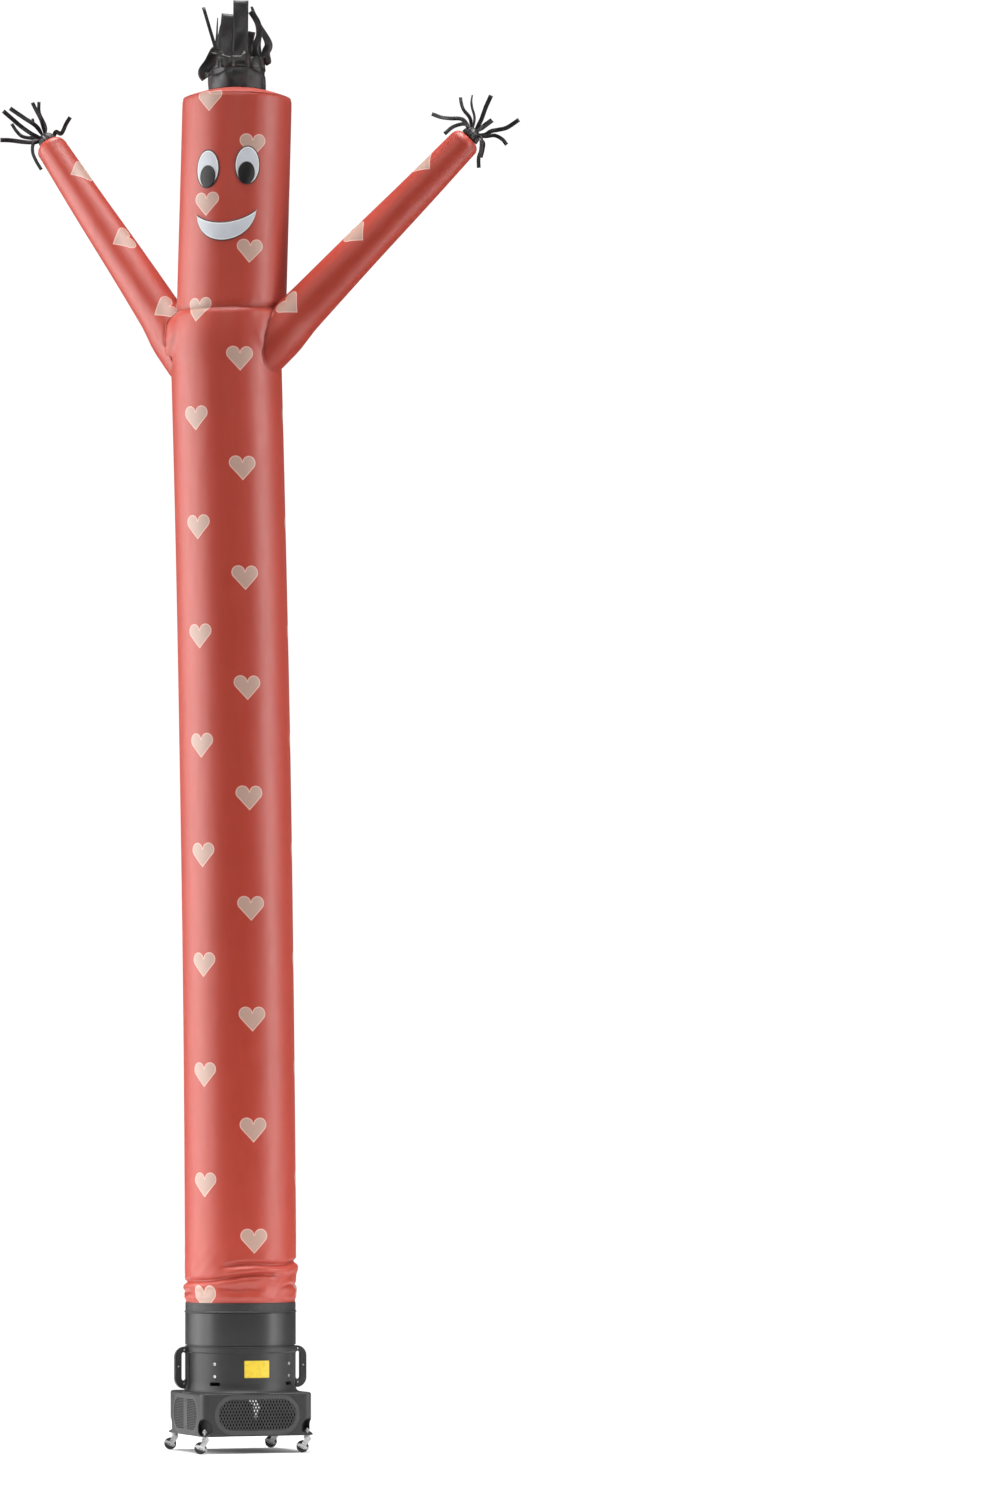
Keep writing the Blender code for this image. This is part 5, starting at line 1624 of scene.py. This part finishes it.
def build_housing():
    housing = housing_shell()
    join_or_cut(housing, drum_body(), "UNION")
    for x, y in CORNERS.values():
        join_or_cut(housing, foot_lip(x, y), "UNION")
    cut_cavity(housing)
    cut_air_ways(housing)
    cut_vents(housing)
    cut_corner_pockets(housing)
    cable_dimple(housing)
    for x, y in CORNERS.values():
        hole = disc_pin("hole", STEM_HOLE, 0.04, (x, y, FOOT_BOTTOM - OVERCUT), (0, 0, 1), 24)
        join_or_cut(housing, hole, "DIFFERENCE")
    open_mesh(housing, "VERT")
    bpy.ops.mesh.select_all(action="SELECT")
    bpy.ops.mesh.remove_doubles(threshold=0.00003)
    close_mesh()
    housing.data.materials.clear()
    housing.data.materials.append(MATERIALS["case"])
    housing.data.materials.append(MATERIALS["inside"])
    # Faces inside the box take the near-black finish: painted shade in the hollow
    for face in housing.data.polygons:
        x, y, z = (abs(value) for value in face.center)
        within = max(x, y) < BOX_HALF - 0.0034 and x + y < 0.377
        face.material_index = int(within and FOOT_TOP - 0.0045 < z < BOX_TOP - 0.0035)
    housing = join_pieces(housing, dark_cans())
    fit(housing, "housing_shell", "case", BODY, BLOWER, ["housing"], 32)


# ------------------------------------------------------------------ grilles

RIM_WIDTH = 0.0175
PANEL_THICK = 0.0022
BARS_BACK = 0.0012
DIAMOND = (0.0125, 0.0260)
SIDE_SLOT = (0.0154, 0.0066)
SCREW_RISE = 0.052


def panel_frame(name):
    """The obround rim of a grille with its rounded inner and outer edges."""
    front = -BOX_HALF + PANEL_RECESS - GAP
    width, height = PANEL_SIZE[0] - 2 * GAP, PANEL_SIZE[1] - 2 * GAP
    panel = obround_face(name, width, height, front, PANEL_Z)
    open_mesh(panel, "FACE")
    bpy.ops.mesh.select_all(action="SELECT")
    bpy.ops.mesh.inset(thickness=RIM_WIDTH, depth=0)
    bpy.ops.mesh.delete(type="FACE")
    extrude_all((0, -PANEL_THICK, 0))

    def sharp_in_front(edge):
        sharp = len(edge.link_faces) == 2 and edge.calc_face_angle(0) > 1.2
        return sharp and max(v.co.y for v in edge.verts) < front - PANEL_THICK + NEAR

    bevel_edges(panel, sharp_in_front, 0.0010, 2)
    close_mesh()
    return panel


def in_obround(x, z, width, height):
    run = (width - height) / 2
    return math.hypot(max(0.0, abs(x) - run), z - PANEL_Z) < height / 2


def bars_from_grid(grid, thickness, keep_solid):
    """Turns a grid of cells into bars: each cell is inset and its middle dropped."""
    open_mesh(grid, "FACE")
    size = (MESH_SIZE[0] + 0.016, MESH_SIZE[1] + 0.016)

    def beyond(face):
        middle = face.calc_center_median()
        return not in_obround(middle.x, middle.z, *size)

    pick(grid, "FACE", beyond)
    bpy.ops.mesh.delete(type="FACE")
    pick(grid, "FACE", lambda face: not keep_solid(face.calc_center_median()))
    bpy.ops.mesh.inset(thickness=thickness / 2, use_individual=True, use_even_offset=True)
    bpy.ops.mesh.delete(type="FACE")
    extrude_all((0, PANEL_THICK, 0))
    close_mesh()
    return grid


def stretched_grid(name, cells, size, turn, wide, tall):
    """An upright grid of square cells, stretched to its real width and height."""
    place = (0, -BOX_HALF + PANEL_RECESS - GAP - BARS_BACK, PANEL_Z)
    upright = (math.pi / 2, turn, 0)
    bpy.ops.mesh.primitive_grid_add(
        x_subdivisions=cells, y_subdivisions=cells, size=size, location=place, rotation=upright
    )
    grid = settle(bpy.context.object, name)
    open_mesh(grid, "VERT")
    bpy.ops.mesh.select_all(action="SELECT")
    bpy.ops.transform.resize(value=(wide, 1, tall), center_override=place)
    close_mesh()
    return grid


def diamond_bars(name):
    """Slanting bars that leave upright diamonds."""
    cells = 40
    wide, tall = (side / math.sqrt(2) for side in DIAMOND)
    grid = stretched_grid(name, cells, cells, math.pi / 4, wide, tall)
    return bars_from_grid(grid, 0.0030, lambda middle: False)


def slot_bars(name):
    """Rows of small level slots either side of a plain middle bar."""
    cells = 23
    grid = stretched_grid(name, cells, 1.0, 0, cells * SIDE_SLOT[0], cells * SIDE_SLOT[1])
    return bars_from_grid(grid, 0.0028, lambda middle: abs(middle.x) < SIDE_SLOT[0] * 1.1)


def build_grilles():
    rims = panel_frame("grille")
    names = ("grille_front", "grille_right", "grille_back", "grille_left")
    meshes = (diamond_bars("diamonds"), slot_bars("slots"))
    for i, name in enumerate(names):
        turn = Matrix.Rotation(i * TURN / 4, 4, "Z")
        rim = copy_of(rims, turn)
        bars = copy_of(meshes[i % 2], turn)
        parts = [bars]
        if i % 2:
            for rise in (-SCREW_RISE, SCREW_RISE):
                place = (0, -BOX_HALF + PANEL_RECESS - GAP - BARS_BACK, PANEL_Z + rise)
                screw = disc_pin("screw", 0.0042, 0.0020, place, (0, -1, 0), 20, 0.0009)
                screw.data.transform(turn)
                parts.append(screw)
        whole = join_pieces(rim, parts)
        fit(whole, name + "_mesh", "mesh", BODY, BLOWER, [name], 30)
    for spare in (rims, *meshes):
        bpy.data.objects.remove(spare, do_unlink=True)


# ------------------------------------------------------------------ handles, plate, bolts

HANDLE_OUT = 0.2785
HANDLE_TOP = 0.4245
HANDLE_BOTTOM = 0.2545
HANDLE_THICK = 0.018
HANDLE_CORNER = 0.042
HANDLE_CLEAR = 0.022
HAND_SLOT_SIZE = (0.114, 0.0185)
HAND_SLOT_AT = (0.24175, 0, 0.345)
# Out from the axis, and height
HANDLE_SCREWS = ((0.2400, 0.4120), (0.2645, 0.3450), (0.2410, 0.2760))
PLATE_SIZE = (0.111, 0.0735)
PLATE_Z = 0.337
PLATE_ANGLE = 0.9
PLATE_TIN = 0.0009
PLATE_EDGE = 0.0024
BOLT_HEIGHTS = (0.3075, 0.3570)


def handle_grip():
    """A D-shaped grip with a long hand slot, sloped in below its lower corner."""
    inner = RING_RADIUS + GAP
    half = HANDLE_THICK / 2
    grip = block("grip", (inner, -half, HANDLE_BOTTOM), (HANDLE_OUT, half, HANDLE_TOP))
    open_mesh(grip, "EDGE")

    def outer_corner(edge):
        return runs_along(edge, 1) and middle_of(edge).x > HANDLE_OUT - 0.001

    bevel_edges(grip, outer_corner, HANDLE_CORNER, 12)
    bpy.ops.mesh.select_all(action="SELECT")
    low_x = HANDLE_OUT - HANDLE_CORNER
    way = Vector((inner, 0, HANDLE_BOTTOM + HANDLE_CLEAR)) - Vector((low_x, 0, HANDLE_BOTTOM))
    outward = Vector((way.z, 0, -way.x)).normalized()
    outward = outward if outward.x < 0 else -outward
    bpy.ops.mesh.bisect(
        plane_co=(low_x, 0, HANDLE_BOTTOM), plane_no=outward, use_fill=True, clear_outer=True
    )
    close_mesh()
    slot = obround_block("slot", *HAND_SLOT_SIZE, -0.03, 0.03, 0.0, 40)
    slot.data.transform(Matrix.Rotation(math.pi / 2, 4, "Y"))
    slot.data.transform(Matrix.Translation(HAND_SLOT_AT))
    join_or_cut(grip, slot, "DIFFERENCE")
    soften_edges(grip, 0.0022, 3, 50)
    return grip


def build_handles():
    grip = handle_grip()
    screws = []
    for x, z in HANDLE_SCREWS:
        for way in (-1, 1):
            place = (x, way * HANDLE_THICK / 2, z)
            screws.append(disc_pin("screw", 0.0036, 0.0014, place, (0, way, 0), 20, 0.0007))
    for screw in screws:
        screw.data.materials.append(MATERIALS["zinc"])
    grip.data.materials.append(MATERIALS["case"])
    whole = join_pieces(grip, screws)
    for side, turn in (("right", 0.0), ("left", math.pi)):
        handle = copy_of(whole, Matrix.Rotation(turn, 4, "Z"))
        fit(handle, "handle_grip_" + side, "case", BODY, BLOWER, ["handle_" + side], 35)
    bpy.data.objects.remove(whole, do_unlink=True)


def build_plate():
    """A thin tin plate bent round the drum, bare inside its black edge line."""
    sides = 240
    bend = DRUM_RADIUS + 0.0006
    width, height = PLATE_SIZE
    bpy.ops.mesh.primitive_cylinder_add(
        vertices=sides, radius=bend, depth=height, end_fill_type="NOTHING", location=(0, 0, PLATE_Z)
    )
    plate = settle(bpy.context.object, "plate")
    half = width / 2 / bend
    middle = math.radians(PLATE_ANGLE)
    open_mesh(plate, "FACE")

    def away(face):
        centre = face.calc_center_median()
        return abs(math.atan2(centre.x, -centre.y) - middle) > half

    pick(plate, "FACE", away)
    bpy.ops.mesh.delete(type="FACE")
    pick(plate, "VERT", lambda v: len(v.link_edges) == 2)
    bpy.ops.mesh.bevel(offset=0.005, segments=4, affect="VERTICES")
    bpy.ops.mesh.select_mode(type="FACE")
    bpy.ops.mesh.select_all(action="SELECT")
    bpy.ops.mesh.inset(thickness=PLATE_EDGE, depth=0)
    close_mesh()
    plate.data.materials.append(MATERIALS["yellow"])
    plate.data.materials.append(MATERIALS["plate_edge"])
    for face in plate.data.polygons:
        face.material_index = 0 if face.select else 1
    step = plate.modifiers.new("tin", "SOLIDIFY")
    step.thickness = PLATE_TIN
    step.offset = 1.0
    step.use_rim = True
    apply_modifier(plate, step)
    fit(plate, "bare_plate", "yellow", BODY, BLOWER, ["maker_plate"], 30)


def build_drum_bolts():
    """Pan heads with a driver recess, in pairs round the drum."""
    start = -DRUM_RADIUS - GAP
    head = disc_pin("pan_head", 0.0064, 0.0030, (0, start, 0), (0, -1, 0), 32, 0.0017, 4)
    open_mesh(head, "FACE")
    pick(head, "FACE", lambda face: face.calc_center_median().y < start - 0.0029)
    bpy.ops.mesh.inset(thickness=0.0018, depth=-0.0008)
    close_mesh()
    count = 0
    for degrees in BOLT_ANGLES:
        for height in BOLT_HEIGHTS:
            count += 1
            turn = Matrix.Rotation(math.radians(degrees), 4, "Z")
            bolt = copy_of(head, turn @ Matrix.Translation((0, 0, height)))
            fit(bolt, f"pan_bolt_{count}", "zinc", BODY, BLOWER, [f"drum_bolt_{count}"], 30)
    bpy.data.objects.remove(head, do_unlink=True)


# ------------------------------------------------------------------ casters

AXLE_Z = 0.02469
TRAIL = 0.018
LEG_INNER = 0.0105
LEG_OUTER = 0.0125
YOKE_TOP = 0.0580
BRAKE_FAR = -LEG_OUTER - GAP - 0.0015
SWIVELS = {"front_left": 6.0, "front_right": -4.0, "rear_left": 4.0, "rear_right": -8.0}
AXLE_AT = Matrix.Translation((-TRAIL, 0, AXLE_Z))
BRAKE_HALF = 0.027
BRAKE_WIDTH = 0.0085
BRAKE_TILT = 24.0
# How a cheek narrows and sweeps back, from under the yoke to below the axle
CHEEK_ROWS = (
    (-0.0118, 0.0150, 0.0520),
    (-0.0165, 0.0095, 0.0430),
    (-0.0232, 0.0015, 0.0330),
    (-0.0262, -0.0075, 0.0262),
    (-0.0252, -0.0108, 0.0205),
    (-0.0222, -0.0138, 0.0168),
)
LAID = Matrix.Rotation(math.pi / 2, 4, "X")


def wheel_piece():
    """Tyre, hub groove and bore, turned and laid on its side."""
    rim = AXLE_Z
    profile = [
        (0.0043, 0.0090), (0.0075, 0.0090), (0.0085, 0.0074), (0.0150, 0.0074), (0.0162, 0.0086),
        (rim - 0.0036, 0.0090), (rim - 0.0012, 0.0078), (rim - 0.0002, 0.0056), (rim, 0.0030),
    ]
    profile += [(radius, -height) for radius, height in reversed(profile)]
    wheel = turned("wheel", profile, 56, closed=True)
    wheel.data.transform(AXLE_AT @ LAID)
    return wheel


def fork_piece():
    """A pressed fork: two cheeks that sweep back to the axle under a yoke and race."""
    yoke = block("yoke", (-0.011, -LEG_OUTER, 0.0545), (0.016, LEG_OUTER, YOKE_TOP))
    for low in (-LEG_OUTER, LEG_INNER):
        cheek = block("cheek", (-0.0110, low, 0.0560), (0.0160, low + 0.002, YOKE_TOP - 0.0005))
        open_mesh(cheek, "FACE")
        for x_low, x_high, z in CHEEK_ROWS:
            pick(cheek, "FACE", lambda f: f.normal.z < -0.7)
            bpy.ops.mesh.extrude_region_move(TRANSFORM_OT_translate={"value": (0, 0, -0.001)})
            bm = bmesh.from_edit_mesh(cheek.data)
            bottom = min(bm.faces, key=lambda f: f.calc_center_median().z)
            centre = bottom.calc_center_median().x
            for vert in bottom.verts:
                vert.co.x = x_high if vert.co.x > centre else x_low
                vert.co.z = z
            bmesh.update_edit_mesh(cheek.data)
        close_mesh()
        join_or_cut(yoke, cheek, "UNION")
    soften_edges(yoke, 0.0005, 2, 50)
    race = turned("race", [
        (0.0060, 0.0570), (0.0140, 0.0570), (0.0152, 0.0585), (0.0152, 0.0605), (0.0138, 0.0618),
        (0.0146, 0.0630), (0.0146, 0.0650), (0.0128, 0.0668), (0.0060, 0.0668),
    ], 40, closed=True)
    pin = disc_pin("pin", 0.0040, 0.0305, (-TRAIL, BRAKE_FAR - 0.0010, AXLE_Z), (0, 1, 0), 24, 0.0006)
    nut = disc_pin("nut", 0.0066, 0.0032, (-TRAIL, LEG_OUTER, AXLE_Z), (0, 1, 0), 6, 0.0006, 2)
    return join_pieces(yoke, [race, pin, nut])


def brake_piece():
    """A pressed brake leaf: a pointed lens with turned-up rims and a round hole for the pin."""
    bpy.ops.mesh.primitive_grid_add(
        x_subdivisions=24, y_subdivisions=8, size=2.0, rotation=(math.pi / 2, 0, 0)
    )
    leaf = settle(bpy.context.object, "leaf")
    for vert in leaf.data.vertices:
        along = vert.co.x
        across = vert.co.z
        width = BRAKE_WIDTH * math.cos(along * 1.42)
        rim = 0.0021 * smooth((abs(across) - 0.62) / 0.38) * (1 - 0.6 * abs(along) ** 3)
        tip = 0.0030 * smooth((abs(along) - 0.72) / 0.28)
        vert.co = Vector((along * BRAKE_HALF, -rim - tip * 0.4, across * width))
    leaf.data.transform(Matrix.Rotation(math.radians(BRAKE_TILT), 4, "Y"))
    step = leaf.modifiers.new("steel", "SOLIDIFY")
    step.thickness = 0.0012
    step.offset = 0.0
    apply_modifier(leaf, step)
    leaf.data.transform(Matrix.Translation((-TRAIL, -LEG_OUTER - GAP - 0.0007, AXLE_Z)))
    hole = disc_pin("eye", 0.0043, 0.02, (-TRAIL, BRAKE_FAR - 0.01, AXLE_Z), (0, 1, 0), 24)
    join_or_cut(leaf, hole, "DIFFERENCE")
    return leaf


def stem_piece():
    """Threaded stem with its washer and hexagon nut."""
    stem = turned("stem", [
        (0.0040, 0.0612), (0.0050, 0.0620), (0.0050, 0.0965), (0.0044, 0.0976), (0.0030, 0.0978),
    ], 24)
    pole_end(stem)

    def ring(name, outer, low, high, sides):
        profile = [(0.0052, low), (outer, low), (outer, high), (0.0052, high)]
        return turned(name, profile, sides, closed=True)

    washer = ring("washer", 0.0105, 0.0843, 0.0855, 32)
    nut = disc_pin("nut", 0.0096, 0.0066, (0, 0, 0.0855), (0, 0, 1), 6, 0.0008, 2)
    spacer = ring("spacer", 0.0078, 0.0670, 0.0698, 28)
    ridges = []
    for i in range(5):
        z = 0.0934 + 0.0006 * i
        ridge = [(0.0048, z), (0.0052, z + 0.0002), (0.0048, z + 0.0004)]
        ridges.append(turned("thread", ridge, 24, closed=True))
    return join_pieces(stem, [washer, nut, spacer, *ridges])


def build_casters():
    pieces = {
        "stem": (stem_piece(), "zinc", "stem_"),
        "fork": (fork_piece(), "zinc", "fork_"),
        "wheel": (wheel_piece(), "rubber", "wheel_"),
        "brake": (brake_piece(), "zinc", "brake_"),
    }
    for name, (x, y) in CORNERS.items():
        corner = BLOWER @ Matrix.Translation((x, y, 0))
        swivel = math.radians(SWIVELS[name]) - BLOWER_YAW
        turned_to = corner @ Matrix.Rotation(swivel, 4, "Z")
        bodies = {"fork": "caster_" + name, "wheel": "roller_" + name, "brake": "pedal_" + name}
        for kind, (pattern, finish, prefix) in pieces.items():
            made = copy_of(pattern, Matrix.Identity(4))
            place = corner if kind == "stem" else turned_to
            body = bodies.get(kind, BODY)
            fit(made, f"caster_{kind}_{name}", finish, body, place, [prefix + name], 32)
    for pattern, _, _ in pieces.values():
        bpy.data.objects.remove(pattern, do_unlink=True)


# ------------------------------------------------------------------ floor and lights


def area_light(name, place, size, power):
    """A softbox that faces the middle of the dancer."""
    light = bpy.data.lights.new(name, "AREA")
    light.shape = "RECTANGLE"
    light.size, light.size_y = size
    light.energy = power
    lamp = bpy.data.objects.new(name, light)
    bpy.context.scene.collection.objects.link(lamp)
    lamp.location = place
    way = Vector((AXIS_X, AXIS_Y, 3.3)) - Vector(place)
    lamp.rotation_euler = way.to_track_quat("-Z", "Y").to_euler()
    return lamp


FLOOR_RADIUS = 2.8
FLOOR_Z = -0.0004
# Softboxes: name, place, width and height, and power in watts
SOFTBOXES = (
    ("softbox_left_front", (-6.6, -2.4, 3.7), (2.0, 8.5), 292),
    ("softbox_left", (-7.0, 0.55, 3.7), (2.6, 8.5), 392),
    ("softbox_left_rear", (-6.3, 3.0, 3.7), (2.0, 8.5), 138),
    ("softbox_right_front", (6.6, -2.4, 3.7), (1.6, 8.5), 366),
    ("softbox_right", (7.0, -0.3, 3.7), (1.6, 8.5), 100),
    ("softbox_high", (0.0, -9.0, 11.0), (5.0, 3.0), 230),
    ("softbox_top", (AXIS_X, AXIS_Y - 0.01, 9.5), (6.0, 6.0), 185),
)
TOP_SPREAD = math.radians(55)
# The plain surroundings' strength: as they light the dancer, and as the camera sees them
AIR_LIGHT, AIR_SEEN = 0.08, 1.05


def build_studio():
    place = (AXIS_X, AXIS_Y, FLOOR_Z)
    bpy.ops.mesh.primitive_circle_add(
        vertices=96, radius=FLOOR_RADIUS, fill_type="NGON", location=place
    )
    floor = settle(bpy.context.object, "studio_floor")
    made, tree, shader = new_material("pale_floor", (0.90, 0.90, 0.90), 0.9)
    cloudy = noise(tree, object_place(tree), 2.0, 2.0)
    colour = blend_colours(tree, cloudy, (0.90, 0.90, 0.90), (0.88, 0.88, 0.88))
    tree.links.new(colour, shader.inputs["Base Color"])
    shader.inputs["Specular IOR Level"].default_value = 0.0
    floor.data.materials.append(made)

    world = bpy.data.worlds.new("studio")
    bpy.context.scene.world = world
    world.use_nodes = True
    tree = world.node_tree
    air = tree.nodes["Background"]
    air.inputs["Color"].default_value = (1.0, 1.0, 1.0, 1.0)
    seen = tree.nodes.new("ShaderNodeLightPath").outputs["Is Camera Ray"]
    tree.links.new(between(tree, seen, 0.0, 1.0, AIR_LIGHT, AIR_SEEN), air.inputs["Strength"])

    for name, place, size, power in SOFTBOXES:
        lamp = area_light(name, place, size, power)
    lamp.data.spread = TOP_SPREAD
    bpy.context.scene.view_settings.view_transform = "Standard"


# ------------------------------------------------------------------ everything

set_camera()
build_studio()
build_body()
build_head()
build_head_cap()
for side in ARMS:
    build_arm(side)
build_face()
build_hair_skirt()
build_hair_strips()
for side in ARMS:
    build_hand(side)
build_hem_band()
build_collar()
build_housing()
build_grilles()
build_handles()
build_plate()
build_drum_bolts()
build_casters()
